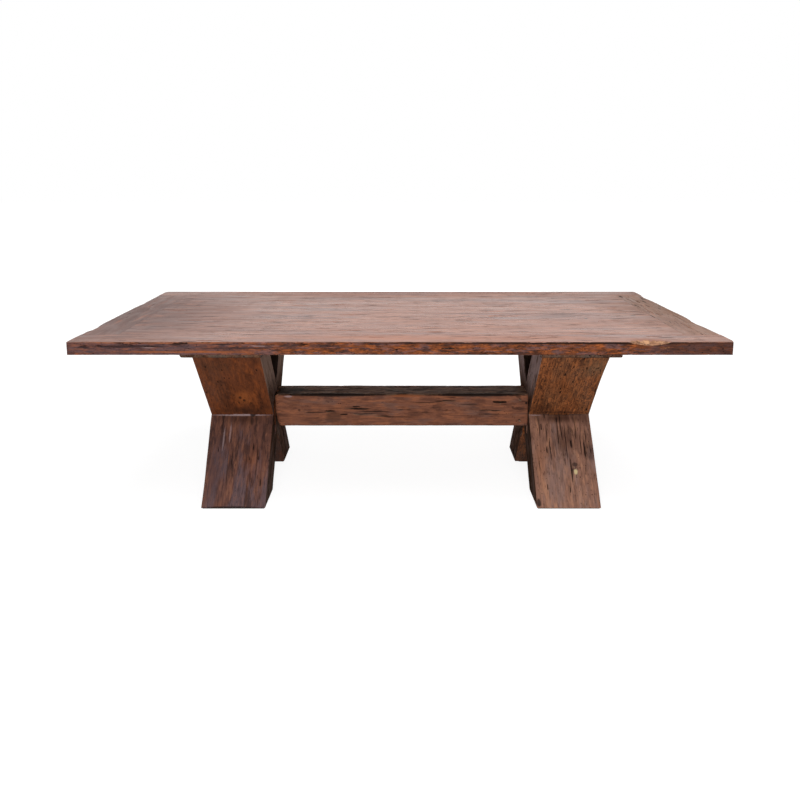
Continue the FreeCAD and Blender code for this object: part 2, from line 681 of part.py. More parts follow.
def floor_pads():
    """Felt pad under each of the four feet."""
    pads = []
    for _, side in SIDES:
        low_x = "Worked.inner_face + Dims.pad_inset" if side > 0 else \
            "-(Worked.inner_face + Worked.leg_width - Dims.pad_inset)"
        for low_y in ("-(Dims.foot_spread / 2 - Dims.pad_inset)",
                      "Dims.foot_spread / 2 - Worked.leg_cut + Dims.pad_inset"):
            felt = doc.addObject("Part::Box", "Pad")
            felt.setExpression("Length", "Worked.leg_width - 2 * Dims.pad_inset")
            felt.setExpression("Width", "Worked.leg_cut - 2 * Dims.pad_inset")
            felt.setExpression("Height", "Dims.pad_thickness")
            place(felt, low_x, low_y)
            pads.append(felt)
    group("floor_pads", pads)


# ---------------------------------------------------------------- the table

def build_table():
    front_border()
    rear_border()
    for index in range(FIELD_COUNT):
        field_board(index)
    for name, side in SIDES:
        end_board(name, side)
        cleat(name, side)
        trestle(name, side)
    stretcher()
    stretcher_fasteners()
    lag_screws()
    floor_pads()
    doc.recompute()


def check_and_export():
    """Stop on any failed object, then write each sub-part to its own STEP file."""
    failed = [item.Label for item in doc.Objects if {"Invalid", "Error"} & set(item.State)]
    for piece in sub_parts:
        if piece.Shape.isNull() or not piece.Shape.isValid():
            failed.append(piece.Label)
    if failed:
        raise RuntimeError(f"failed objects: {failed}")
    os.makedirs("parts", exist_ok=True)
    for piece in sub_parts:
        piece.Shape.exportStep(f"parts/{piece.Label}.step")
        print(f"{piece.Label}: {len(piece.Shape.Solids)} solids, "
              f"{piece.Shape.Volume / 1e6:.3f} litres")


build_table()
check_and_export()
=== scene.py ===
"""Looks for the trestle dining table: every timber reshaped and finished as old, hand-worked wood.

Metres, in the part's own frame: X along the table, Y from front to rear, Z up from the floor.
A timber is worked on the bench first. There it lies from 0 to its size on each axis, with its
grain along the first axis, and it is carried to its place in the table once it is shaped.
"""

import math
import random
from collections import namedtuple

import bmesh
import bpy
from mathutils import Matrix, Vector, noise


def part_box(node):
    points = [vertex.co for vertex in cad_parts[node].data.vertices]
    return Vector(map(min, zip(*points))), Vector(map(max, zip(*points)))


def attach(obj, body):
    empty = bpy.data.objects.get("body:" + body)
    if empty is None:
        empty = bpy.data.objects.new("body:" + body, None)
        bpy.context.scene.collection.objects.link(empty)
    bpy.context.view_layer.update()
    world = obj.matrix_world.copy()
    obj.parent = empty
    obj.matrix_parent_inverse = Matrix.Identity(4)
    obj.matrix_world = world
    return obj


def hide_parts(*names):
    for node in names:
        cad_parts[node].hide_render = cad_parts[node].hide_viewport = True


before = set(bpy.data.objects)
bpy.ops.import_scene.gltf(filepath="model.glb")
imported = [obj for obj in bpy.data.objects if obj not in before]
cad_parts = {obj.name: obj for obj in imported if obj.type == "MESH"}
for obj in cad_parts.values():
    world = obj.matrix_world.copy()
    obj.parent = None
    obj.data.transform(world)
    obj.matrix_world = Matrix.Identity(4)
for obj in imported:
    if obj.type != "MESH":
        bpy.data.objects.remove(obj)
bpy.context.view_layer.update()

MM = 0.001
TINY = 1e-6
GRAIN, ACROSS, THROUGH = 0, 1, 2
NEAR, FAR = 0, 1
X_AXIS = Vector((1, 0, 0))
Y_AXIS = Vector((0, 1, 0))
Z_AXIS = Vector((0, 0, 1))

# ---- sizes, read from the frame


def low(name):
    return Vector(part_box(name)[0])


def high(name):
    return Vector(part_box(name)[1])


HALF_LENGTH = high("front_border_board").x
HALF_WIDTH = high("rear_border_board").y
TOP_FACE = high("front_border_board").z
UNDERSIDE = low("front_border_board").z
BORDER_WIDTH = HALF_WIDTH - low("rear_border_board").y
FIELD_HALF_LENGTH = low("right_end_board").x
FIELD_EDGES = [low("field_board_%d" % number).y for number in range(1, 7)]
FIELD_EDGES.append(low("rear_border_board").y)

CLEAT_INSIDE = low("right_cleat").x
CLEAT_OUTSIDE = high("right_cleat").x
HEAD_Z = low("right_cleat").z
FOOT_Z = low("right_leg_a_inner").z
TOE = high("right_leg_a_inner").y
STAVE_WIDTH = high("right_leg_a_inner").x - low("right_leg_a_inner").x
CROSSING_Z = (FOOT_Z + HEAD_Z) / 2
LEG_THICKNESS = 140 * MM

BEAM_HALF_LENGTH = low("right_leg_a_inner").x
BEAM_LOW = low("stretcher")
BEAM_HIGH = high("stretcher")
TOP_MIDDLE = (TOP_FACE + UNDERSIDE) / 2
NUT_RADIUS = 7 * MM
NUT_X = high("barrel_nuts").x - NUT_RADIUS
BOLT_HEIGHTS = (low("barrel_nuts").z + NUT_RADIUS, high("barrel_nuts").z - NUT_RADIUS)
POCKET_RADIUS = 16 * MM
POCKET_DEPTH = 28 * MM
LEG_OUTSIDE = high("right_leg_a_outer").x

# A leg's level cut is longer the more it leans, and its lean hangs on that cut. They settle soon.
leg_cut = LEG_THICKNESS
for _ in range(12):
    lean = math.atan((2 * TOE - leg_cut) / (HEAD_Z - FOOT_Z))
    leg_cut = LEG_THICKNESS / math.cos(lean)
LEAN = lean
LEG_CUT = leg_cut
CROSSING_HALF = LEG_CUT / 2
CROSSING_RISE = CROSSING_HALF / math.tan(LEAN)

# ---- timber on the bench

# An open check in a face. It runs with the grain, widest and deepest half way along.
Gash = namedtuple("Gash", "face side along cross length width depth wander")

# Vertices that have their place on the grid wait this far off, clear of those still to be placed.
CLEAR = 10


def saw_lines(length, arris, step, marks=()):
    """Grid lines across a timber: close to its arrises, three at each mark, and a regular step."""
    kept = [0.0, length]
    for place, half in marks:
        if all(abs(place - other) > half + 3 * MM for other in kept):
            kept += [place - half, place, place + half]
    marked = list(kept[2:])
    for share in (1.0, 0.5, 0.2, 1.8):
        kept += [arris * share, length - arris * share]
    count = max(1, round(length / step))
    for number in range(1, count):
        line = length * number / count
        clear = all(abs(line - other) > 3.2 * MM for other in marked)
        if clear and all(abs(line - other) > 0.25 * MM for other in kept):
            kept.append(line)
    return sorted(kept)


def bench_blank(size, arris, steps, gashes):
    """A squared timber whose faces are a grid, with lines laid where its gashes will be."""
    mesh = bmesh.new()
    bmesh.ops.create_cube(mesh, size=1.0)
    for axis in (GRAIN, ACROSS, THROUGH):
        marks = [(one.cross, one.width / 2) for one in gashes if cross_axis(one) == axis]
        lines = saw_lines(size[axis], arris, steps[axis], marks)
        edges = [edge for edge in mesh.edges
                 if abs(edge.verts[0].co[axis] - edge.verts[1].co[axis]) > 0.5]
        bmesh.ops.subdivide_edges(mesh, edges=edges, cuts=len(lines) - 2, use_grid_fill=True)
        for vert in mesh.verts:
            number = round((vert.co[axis] + 0.5) * (len(lines) - 1))
            vert.co[axis] = CLEAR + lines[number]
    for vert in mesh.verts:
        vert.co -= Vector((CLEAR, CLEAR, CLEAR))
    return mesh


def cross_axis(one):
    return THROUGH if one.face == ACROSS else ACROSS


def stray_gashes(size, seed, count, faces, margin=12 * MM, longest=0.13):
    """Drying checks scattered over the faces of a timber."""
    chance = random.Random(seed)
    found = []
    for _ in range(count):
        face, side = chance.choice(faces)
        cross_size = size[THROUGH if face == ACROSS else ACROSS]
        length = chance.uniform(0.03, longest)
        found.append(Gash(
            face, side,
            chance.uniform(length, size[GRAIN] - length),
            chance.uniform(margin, cross_size - margin),
            length, chance.uniform(1.4, 3.6) * MM, chance.uniform(3, 7) * MM,
            chance.uniform(0.5, 2.5) * MM))
    return found


def clamp(value):
    return min(1.0, max(0.0, value))


def smooth(value):
    """A value from 0 to 1, eased at both ends of its run."""
    share = clamp(value)
    return share * share * (3 - 2 * share)


def ripple(point, rates, seed):
    """Smooth chance from 0 to 1."""
    spot = Vector((point[0] * rates[0] + seed, point[1] * rates[1] - seed, point[2] * rates[2]))
    return 0.5 + 0.5 * max(-1.0, min(1.0, 1.5 * noise.noise(spot)))


def nibbles(distance, seed, rate, share):
    """Chance bites out of an arris: 0 for most of its length, up to 1 at a bite."""
    value = ripple((distance, 0, 0), (rate, 1, 1), seed)
    fine = ripple((distance, 0, 0), (rate * 4.1, 1, 1), seed + 7.7)
    return max(0.0, value * 0.7 + fine * 0.3 - (1 - share)) / share


def eased(start, size, bend, end_bend):
    """A point of the blank once its long arrises and the arrises at its ends are rounded."""
    core = start.copy()
    for axis in (ACROSS, THROUGH):
        core[axis] = min(max(start[axis], bend), size[axis] - bend)
    out = start - core
    point = start.copy()
    if out.length > TINY:
        point = core + out * (bend / out.length)
    from_end = min(start[GRAIN], size[GRAIN] - start[GRAIN])
    if from_end < end_bend:
        fall = end_bend - from_end
        inset = end_bend - math.sqrt(max(0.0, end_bend ** 2 - fall ** 2))
        for axis in (ACROSS, THROUGH):
            if point[axis] < 3 * inset:
                point[axis] = inset + point[axis] * 2 / 3
            elif point[axis] > size[axis] - 3 * inset:
                point[axis] = size[axis] - inset - (size[axis] - point[axis]) * 2 / 3
    return point


def opened(gashes, axis, side, start, seed):
    """How deep and how far aside the open checks take a point of a face."""
    back = 0.0
    shift = [0.0, 0.0, 0.0]
    share = 0.0
    for one in gashes:
        if one.face != axis or one.side != side:
            continue
        across = cross_axis(one)
        off = start[across] - one.cross
        if abs(off) > one.width / 2 + TINY:
            continue
        run = (start[GRAIN] - one.along) / (one.length / 2)
        drift = noise.noise(Vector((start[GRAIN] * 25, one.cross * 90, seed)))
        gape = (1 - run * run) ** 0.7 if abs(run) < 1 else 0.0
        shift[across] += one.wander * drift * gape
        if abs(off) < one.width / 4:
            back += one.depth * gape
            share = max(share, gape)
        elif gape > 0:
            shift[across] -= math.copysign(one.width * 0.35 * (1 - gape), off)
    return back, shift, share


def worked_timber(node, size, arris, steps, place, seed, gashes=(), wear=1.0, hollow=None,
                  radius=None, end_radius=None, chips=0.0, joined=()):
    """Shape a timber by hand: ease its arrises, scrape its open faces and open its checks."""
    mesh = bench_blank(size, arris, steps, gashes)
    cut = mesh.verts.layers.float.new("cut")
    rub = mesh.verts.layers.float.new("rub")
    for vert in mesh.verts:
        start = Vector(vert.co)
        rest = place(start)
        sides = [NEAR if start[axis] < size[axis] / 2 else FAR for axis in range(3)]
        inward = [1 if side == NEAR else -1 for side in sides]
        gap = [1.0 if (axis, sides[axis]) in joined else min(start[axis], size[axis] - start[axis])
               for axis in range(3)]
        corner = seed + sides[1] * 3.3 + sides[2] * 5.9
        bend = radius(start, sides) if radius else arris
        bend = min(bend * (0.7 + 0.7 * ripple(start, (9, 0, 0), corner)), 0.45 * min(size))
        end_bend = end_radius(start, sides) if end_radius else 1.2 * MM
        point = eased(start, size, bend, end_bend)
        if chips:
            bite = nibbles(start[GRAIN], corner + 1.7, 30, 0.4) * chips
            bite *= 1.0 if sides[THROUGH] == FAR else 0.25
            near = max(0.0, 1 - (gap[ACROSS] + gap[THROUGH]) / (3 * chips))
            for axis in (ACROSS, THROUGH):
                point[axis] += inward[axis] * bite * near * near * 0.8
        touched = 0.0
        for axis in range(3):
            if gap[axis] > TINY:
                continue
            back = wear * MM * 0.9 * ripple(rest, (6, 9, 9), 2.0 + axis + 3 * sides[axis])
            back += wear * MM * 0.35 * ripple(start, (16, 55, 55), seed + 4 + axis)
            if hollow:
                back += hollow(axis, sides[axis], start)
            deeper, shift, share = opened(gashes, axis, sides[axis], start, seed)
            touched = max(touched, share)
            point += Vector(shift)
            point[axis] += inward[axis] * (back + deeper)
        vert[cut] = touched
        vert[rub] = max(0.0, 1 - sum(sorted(gap)[:2]) / (arris * 1.6 + 2 * MM))
        vert.co = place(point)
    return piece_from(mesh, node.replace("_", "-"))


def piece_from(mesh, name):
    if mesh.calc_volume(signed=True) < 0:
        bmesh.ops.reverse_faces(mesh, faces=mesh.faces)
    for face in mesh.faces:
        face.smooth = True
    data = bpy.data.meshes.new(name)
    mesh.to_mesh(data)
    mesh.free()
    piece = bpy.data.objects.new(name, data)
    bpy.context.scene.collection.objects.link(piece)
    return piece


def cut_away(piece, bits):
    """Cut the shapes in a drawer of bits out of a finished piece."""
    bit = piece_from(bits, piece.name + "-bit")
    hole = piece.modifiers.new("holes", "BOOLEAN")
    hole.operation = "DIFFERENCE"
    hole.object = bit
    hole.solver = "MANIFOLD"
    bpy.context.view_layer.update()
    graph = bpy.context.evaluated_depsgraph_get()
    bored = bpy.data.meshes.new_from_object(piece.evaluated_get(graph))
    piece.modifiers.clear()
    piece.data = bored
    bpy.data.objects.remove(bit)


def drill_bit(bits, middle, axis, radius, length):
    turn = Z_AXIS.rotation_difference(axis).to_matrix().to_4x4()
    bmesh.ops.create_cone(bits, cap_ends=True, segments=40, radius1=radius, radius2=radius,
                          depth=length, matrix=Matrix.Translation(middle) @ turn)


def chisel(bits, near, far):
    """A square-cornered block between two corners."""
    size = far - near
    middle = Matrix.Translation((near + far) / 2)
    scale = Matrix.Diagonal((*size, 1))
    bmesh.ops.create_cube(bits, size=1.0, matrix=middle @ scale)


def facing(direction, least=0.6):
    """A test for the faces of a piece that look one way."""
    return lambda face: face.normal.dot(direction) > least


def fit(piece, node, finish, others=()):
    """Put a shaped piece in its place in the table: one finish, and others on chosen faces."""
    piece.data.materials.clear()
    piece.data.materials.append(finish)
    for face in piece.data.polygons:
        face.material_index = 0
    for number, (other, chosen) in enumerate(others, 1):
        piece.data.materials.append(other)
        for face in piece.data.polygons:
            if chosen(face):
                face.material_index = number
    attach(piece, "root")
    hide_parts(node)
    return piece


# ---- finishes


def light(red, green, blue):
    """A colour as it is read off a chart, 0 to 255, turned into light."""
    return tuple(((value / 255 + 0.055) / 1.055) ** 2.4 if value > 10 else value / 3294.6
                 for value in (red, green, blue))


class Nodes:
    """A small bench for wiring nodes together. Colours are given as they are read off a chart."""

    def __init__(self, tree):
        self.tree = tree

    def feed(self, socket, value):
        if isinstance(value, bpy.types.NodeSocket):
            self.tree.links.new(value, socket)
        elif socket.type == "RGBA" and len(value) == 3:
            socket.default_value = (*light(*value), 1.0)
        else:
            socket.default_value = value

    def node(self, kind, feeds=(), **settings):
        """A new node, with its settings and with what feeds its inputs."""
        made = self.tree.nodes.new("ShaderNode" + kind)
        for key, value in settings.items():
            setattr(made, key, value)
        for key, value in dict(feeds).items():
            self.feed(made.inputs[key], value)
        return made

    def maths(self, operation, first, second=0.5, third=0.5):
        return self.node("Math", {0: first, 1: second, 2: third}, operation=operation).outputs[0]

    def times(self, first, second):
        return self.maths("MULTIPLY", first, second)

    def most(self, first, second):
        return self.maths("MAXIMUM", first, second)

    def vector(self, operation, first, second=(0, 0, 0)):
        made = self.node("VectorMath", {0: first, 1: second}, operation=operation)
        return made.outputs["Value" if operation == "LENGTH" else "Vector"]

    def noise(self, vector, stretch, detail=3.0, roughness=0.55, shift=0.0):
        spot = self.vector("MULTIPLY", vector, stretch)
        if shift:
            spot = self.vector("ADD", spot, (shift, shift * 0.7, -shift))
        made = self.node("TexNoise", {"Vector": spot, "Scale": 1.0, "Detail": detail,
                                      "Roughness": roughness})
        return made.outputs["Fac"]

    def between(self, value, start, end, first=0.0, last=1.0, curve="SMOOTHSTEP"):
        """A value carried from one span, start to end, to another, first to last."""
        made = self.node("MapRange", {"Value": value, "From Min": start, "From Max": end,
                                      "To Min": first, "To Max": last}, interpolation_type=curve)
        return made.outputs["Result"]

    def mix(self, share, first, second, blend="MIX"):
        made = self.node("Mix", data_type="RGBA", blend_type=blend)
        for place, value in ((0, share), (6, first), (7, second)):
            self.feed(made.inputs[place], value)
        return made.outputs[2]


class Finish(Nodes):
    """A procedural finish, laid out on a piece where it stands in the table."""

    def __init__(self, name):
        self.material = bpy.data.materials.new(name)
        self.material.use_nodes = True
        super().__init__(self.material.node_tree)
        self.shader = self.tree.nodes["Principled BSDF"]
        self.rest = self.node("TexCoord").outputs["Object"]

    def lay(self, coats):
        for name, value in coats.items():
            self.feed(self.shader.inputs[name], value)

    def raised(self, height, strength, distance, invert=False):
        """Let a pattern stand up from the surface, or sink into it."""
        bump = self.node("Bump", {"Height": height, "Strength": strength, "Distance": distance},
                         invert=invert)
        self.lay({"Normal": bump.outputs["Normal"]})

    def attribute(self, name):
        return self.node("Attribute", attribute_name=name).outputs["Fac"]

    def flecks(self, vector, stretch, size, share, ragged=0.35, shift=0.0):
        """Small marks scattered over the wood, longer along the grain: 1 inside a mark."""
        spot = self.vector("MULTIPLY", vector, stretch)
        spot = self.vector("ADD", spot, (shift, -shift, shift * 0.5))
        cells = self.node("TexVoronoi", {"Vector": spot, "Scale": 1.0}, feature="F1")
        chosen = self.node("SeparateColor", {0: cells.outputs["Color"]})
        fray = self.noise(vector, [value * 3.2 for value in stretch], 2.0)
        fray = self.maths("MULTIPLY_ADD", fray, ragged, -ragged / 2)
        reach = self.maths("ADD", cells.outputs["Distance"], fray)
        grow = self.times(chosen.outputs[1], size)
        inside = self.between(self.maths("SUBTRACT", grow, reach), -0.03, 0.05)
        return self.times(inside, self.maths("LESS_THAN", chosen.outputs[0], share))

    def spot(self, middle, radii, soft=0.5, ragged=0.5, rates=(60, 60, 60)):
        """One mark at a known place: 1 at its middle, fading out at its radii."""
        off = self.vector("SUBTRACT", self.rest, middle)
        away = self.vector("LENGTH", self.vector("DIVIDE", off, radii))
        away = self.maths("MULTIPLY_ADD", self.noise(self.rest, rates, 3.0), ragged, away)
        edge = 1 + ragged / 2
        return self.between(away, edge - soft, edge, 1.0, 0.0)


# Each finish: the wood's tones, how far its streaks, rings and checks show, and its polish.
TOP_WOOD = dict(
    body=(131, 83, 65), pale=(171, 112, 84), deep=(88, 55, 42), grey=(102, 77, 75),
    black=(26, 18, 16), rub=(140, 92, 70), streak=(3.6, 30, 30), cloud=(1.5, 10, 10),
    fine=(11, 70, 70), hair=(13, 150, 150), fleck=(9, 130, 130), crisp=0.16, deep_share=0.38,
    grey_share=0.6, pale_share=0.55, rub_share=0.1, rings=150, ring_share=0.2, checks=0.24,
    hairs=0.8, specks=0.25, figure=0.0, polish=0.27, specular=0.42, relief=0.5)
# The front edge's grey streaks are blue-grey painted highlights over the dark wood; its own gloss
# is kept low.
EDGE_WOOD = dict(
    TOP_WOOD, body=(95, 54, 36), pale=(154, 84, 44), deep=(48, 31, 26), grey=(88, 76, 82),
    black=(16, 11, 11), rub=(60, 38, 30), streak=(20, 100, 100), cloud=(14, 75, 75),
    fine=(48, 140, 140), hair=(24, 120, 120), fleck=(55, 140, 140), crisp=0.07, deep_share=0.65,
    grey_share=0.5, pale_share=0.75, checks=0.2, hairs=0.8, polish=0.5, specular=0.08, relief=1.3)
ARM_WOOD = dict(
    TOP_WOOD, body=(98, 54, 33), pale=(138, 74, 38), deep=(54, 29, 19), grey=(80, 52, 38),
    black=(20, 12, 9), rub=(118, 68, 42), streak=(7, 22, 22), cloud=(3.5, 9, 9),
    fine=(30, 100, 100), hair=(40, 130, 130), fleck=(40, 110, 110), crisp=0.12, deep_share=0.5,
    grey_share=0.35, pale_share=0.5, ring_share=0.06, checks=0.1, hairs=0.6, specks=0.15,
    figure=0.2, polish=0.5, specular=0.06, relief=0.7)
CURLY_WOOD = dict(
    ARM_WOOD, body=(119, 70, 42), pale=(164, 98, 56), deep=(56, 32, 21), grey=(106, 78, 58),
    figure=0.75, hairs=0.9, hair=(20, 110, 110), checks=0.14)
DARK_WOOD = dict(
    TOP_WOOD, body=(94, 62, 53), pale=(130, 86, 67), deep=(58, 39, 36), grey=(88, 73, 78),
    black=(22, 14, 12), rub=(122, 84, 66), streak=(8, 34, 34), cloud=(4, 13, 13),
    fine=(22, 140, 140), hair=(16, 140, 140), fleck=(20, 120, 120), crisp=0.12, deep_share=0.8,
    grey_share=0.75, pale_share=0.75, ring_share=0.1, checks=0.05, hairs=0.3, specks=0.15,
    polish=0.5, specular=0.16, relief=1.0)
PALE_WOOD = dict(
    DARK_WOOD, body=(132, 95, 80), pale=(168, 121, 95), deep=(80, 54, 45), grey=(130, 108, 103),
    rub=(144, 104, 82), streak=(6, 26, 26), deep_share=0.55, grey_share=0.5, checks=0.18,
    hairs=0.4, hair=(12, 150, 150), specks=0.5)
BEAM_WOOD = dict(
    TOP_WOOD, body=(116, 74, 57), pale=(152, 95, 66), deep=(72, 46, 38), grey=(97, 78, 73),
    black=(16, 11, 9), rub=(134, 78, 48), streak=(11, 42, 42), cloud=(4.5, 18, 18),
    fine=(20, 100, 100), hair=(13, 120, 120), fleck=(18, 100, 100), crisp=0.12, deep_share=0.5,
    grey_share=0.5, pale_share=0.5, ring_share=0.12, checks=0.03, hairs=0.8, specks=0.15,
    polish=0.5, specular=0.1, relief=0.9)
CLEAT_WOOD = dict(
    DARK_WOOD, body=(92, 66, 52), pale=(114, 82, 62), deep=(56, 39, 31), grey=(92, 80, 72),
    checks=0.2, specular=0.06)
# Painted shade: a darker, glossless copy of the leg wood for the faces that look in towards the
# middle of the table.
SHADED_INSIDE_WOOD = dict(
    DARK_WOOD, body=(80, 59, 48), pale=(110, 84, 71), deep=(48, 34, 27), grey=(116, 96, 88),
    hairs=0.6, specular=0.0)
# Painted shade: near-black wood for the faces of the arms that look at each other above the
# crossing.
CROSS_SHADE_WOOD = dict(
    SHADED_INSIDE_WOOD, body=(34, 24, 19), pale=(46, 33, 26), deep=(20, 14, 11), grey=(40, 31, 27))


# How soft and how ragged a zone usually is.
USUAL_LOOK = (0.9, 0.5)


def timber_finish(name, wood, grain, middle, seed, pith=(0.05, -0.09), marks=(), zones=(),
                  checked=(), painted_rear_shade=1.0):
    """Old oiled wood with its grain along one direction of the table."""
    finish = Finish(name)
    mix, times, most, between = finish.mix, finish.times, finish.most, finish.between
    turn = Vector(grain).rotation_difference(X_AXIS)
    lie = finish.node("Mapping", {"Vector": finish.rest, "Rotation": turn.to_euler()},
                      vector_type="POINT").outputs["Vector"]
    heart = turn @ Vector(middle)
    crisp = wood["crisp"]

    wave = finish.noise(lie, (2.2, 9, 9), 2.0, 0.5, seed)
    log = finish.vector("SUBTRACT", lie, (0, heart.y + pith[0], heart.z + pith[1]))
    log = finish.vector("MULTIPLY", log, (0.02, 1, 1))
    reach = finish.maths("MULTIPLY_ADD", wave, 0.05, finish.vector("LENGTH", log))
    ring = finish.maths("FRACT", times(reach, wood["rings"]))
    late = times(between(ring, 0.3, 0.88), between(ring, 0.92, 1, 1, 0))

    fibre = finish.noise(lie, (14, 520, 520), 3.0, 0.65, seed * 2)
    broad = finish.noise(lie, wood["streak"], 4.0, 0.62, seed * 3)
    tint = finish.noise(lie, [rate * 1.3 for rate in wood["streak"]], 4.0, 0.62, seed * 4)
    cloud = finish.noise(lie, wood["cloud"], 4.0, 0.6, seed * 5)
    fine = finish.noise(lie, wood["fine"], 4.0, 0.65, seed * 7)
    curl = lie
    stains = [(tint, 0.5, 0.5 + crisp, wood["pale_share"], "pale"),
              (cloud, 0.52, 0.52 - crisp, wood["grey_share"], "grey"),
              (broad, 0.5, 0.5 + crisp, wood["deep_share"], "deep"),
              (fine, 0.52, 0.66, wood["deep_share"] * 0.8, "deep"),
              (fine, 0.48, 0.34, wood["pale_share"] * 0.6, "pale")]
    if wood["figure"]:
        warp = times(finish.noise(lie, (20, 14, 14), 2.0, 0.5, seed + 2), 0.05)
        aside = finish.node("CombineXYZ", {1: warp, 2: warp})
        curl = finish.vector("ADD", lie, aside.outputs[0])
        flame = finish.noise(curl, (8, 170, 170), 3.0, 0.65, seed + 6)
        stains += [(flame, 0.5, 0.6, wood["figure"], "deep"),
                   (flame, 0.45, 0.36, wood["figure"], "pale")]
    hair = finish.noise(curl, wood["hair"], 3.0, 0.6, seed * 11)

    ring_tone = mix(times(late, 0.9), wood["pale"], wood["deep"])
    colour = mix(wood["ring_share"], wood["body"], ring_tone)
    for pattern, start, end, share, tone in stains:
        colour = mix(between(pattern, start, end, 0, share), colour, wood[tone])
    dull = None
    for place, radii, tone, strength, *look in zones:
        patch = finish.noise(lie, (6, 30, 30), 3.0, 0.6, seed + 40)
        near = finish.spot(place, radii, *(look or USUAL_LOOK), (4, 30, 30))
        dull = near if dull is None else most(dull, near)
        share = times(near, between(patch, 0.25, 0.5, 0, strength))
        colour = mix(share, colour, tone)
    shade = between(fibre, 0.3, 0.7, 0.84, 1.12)
    # Painted shade: below 1, the rear shade darkens the wood towards the rear of the table.
    if painted_rear_shade < 1:
        place = finish.node("SeparateXYZ", {0: finish.rest})
        shade = times(shade, between(place.outputs["Y"], -0.04, 0.08, 1, painted_rear_shade))
    # The fibre's light and dark streaks and the painted rear shade both scale the colour here.
    fibre_and_painted_shade = finish.node("CombineColor", {0: shade, 1: shade, 2: shade})
    colour = mix(1.0, colour, fibre_and_painted_shade.outputs[0], "MULTIPLY")
    worn = times(finish.attribute("rub"), between(broad, 0.4, 0.56))
    colour = mix(times(worn, wood["rub_share"]), colour, wood["rub"])

    dark = finish.flecks(lie, wood["fleck"], 0.42, wood["checks"], 0.4, seed)
    short = finish.flecks(lie, [rate * 2.4 for rate in wood["fleck"]], 0.4, wood["checks"],
                          0.35, seed + 3)
    dark = most(dark, times(short, 0.8))
    region = finish.noise(lie, (2.4, 13, 13), 3.0, 0.55, seed + 17)
    region = between(region, 0.48, 0.62, 0, wood["hairs"])
    for place, radii in checked:
        region = most(region, finish.spot(place, radii, 0.7, 0.8))
    dark = most(dark, times(between(hair, 0.56, 0.62), region))
    if wood["specks"]:
        holes = finish.flecks(lie, (110, 130, 130), 0.3, wood["specks"], 0.1, seed + 9)
        where = between(finish.noise(lie, (1.7, 5, 5), 2.0, 0.5, seed + 31), 0.46, 0.6)
        dark = most(dark, times(holes, where))
    dark = most(dark, between(finish.attribute("cut"), 0.12, 0.4))
    colour = mix(times(dark, 0.9), colour, wood["black"])
    for place, radii, tone, strength in marks:
        colour = mix(times(finish.spot(place, radii), strength), colour, tone)

    rough = between(broad, 0.3, 0.7, wood["polish"] - 0.04, wood["polish"] + 0.1)
    rough = most(rough, times(dark, 0.85))
    if dull is not None:
        rough = finish.maths("MULTIPLY_ADD", dull, 0.2, rough)
    finish.lay({"Base Color": colour, "Roughness": rough, "Specular IOR Level": wood["specular"]})
    height = times(fibre, 0.3)
    for pattern, rise in ((late, 0.2), (fine, 0.45), (dark, -1.6)):
        height = finish.maths("MULTIPLY_ADD", pattern, rise, height)
    finish.raised(height, 0.6 * wood["relief"], 0.8 * MM)
    return finish.material


def pecky_finish(name, seed):
    """Pale, pitted wood laid bare where the bark once was."""
    finish = Finish(name)
    pits = finish.most(finish.flecks(finish.rest, (120, 150, 150), 0.55, 0.7, 0.3, seed),
                       finish.flecks(finish.rest, (60, 90, 90), 0.4, 0.5, 0.3, seed + 5))
    tint = finish.noise(finish.rest, (30, 60, 60), 4.0, 0.6, seed)
    colour = finish.mix(finish.between(tint, 0.3, 0.7), (116, 78, 54), (178, 134, 100))
    colour = finish.mix(finish.times(pits, 0.8), colour, (66, 42, 31))
    finish.lay({"Base Color": colour, "Roughness": 0.6, "Specular IOR Level": 0.2})
    finish.raised(pits, 0.7, 1.5 * MM, True)
    return finish.material


def steel_finish():
    finish = Finish("waxed-steel")
    haze = finish.noise(finish.rest, (90, 90, 90), 4.0)
    rust = finish.between(finish.noise(finish.rest, (35, 35, 60), 5.0, 0.7, 4.0), 0.52, 0.7)
    colour = finish.mix(haze, (112, 110, 108), (150, 148, 146))
    colour = finish.mix(finish.times(rust, 0.7), colour, (92, 58, 40))
    finish.lay({"Base Color": colour, "Metallic": 0.85,
                "Roughness": finish.between(rust, 0, 1, 0.34, 0.7)})
    return finish.material


def felt_finish():
    finish = Finish("brown-felt")
    hair = finish.noise(finish.rest, (900, 900, 900), 5.0, 0.7)
    blot = finish.noise(finish.rest, (60, 60, 60), 3.0)
    colour = finish.mix(hair, (20, 15, 13), (48, 38, 33))
    colour = finish.mix(finish.times(blot, 0.4), colour, (60, 48, 40))
    finish.lay({"Base Color": colour, "Roughness": 0.95})
    finish.raised(hair, 0.6, 0.4 * MM)
    return finish.material


# Tones for marks. UMBER is laid as painted shade where the legs cross and where the stretcher
# meets them; LILAC serves for pale gouges and, along the crossings, for painted highlights.
BLACK = (24, 16, 13)
CREAM = (205, 185, 140)
LILAC = (150, 128, 128)
UMBER = (58, 34, 24)
AMBER = (146, 82, 44)


def on_face(face, rows):
    """Marks on a face, from rows in millimetres: two measures of the mark's place on the face,
    how far it reaches along X, Y and Z, and then what is laid there, such as tone and strength.
    """
    return [(face(first * MM, second * MM), (along * MM, across * MM, up * MM), *laid)
            for first, second, along, across, up, *laid in rows]


def top_face(x, y):
    return (x, y, TOP_FACE)


def front_edge(x, z):
    return (x, -HALF_WIDTH, z)


def beam_face(x, z):
    return (x, BEAM_LOW.y, z)


def lower_face(x, z):
    """A point on the front face of a foot, below the crossing."""
    return (x, -TOE + (z - FOOT_Z) * math.tan(LEAN), z)


def upper_face(x, z):
    """A point on the front face of an arm, above the crossing."""
    return (x, -CROSSING_HALF - (z - CROSSING_Z) * math.tan(LEAN), z)


def crossing_line(x, z):
    return (x, -CROSSING_HALF, z)
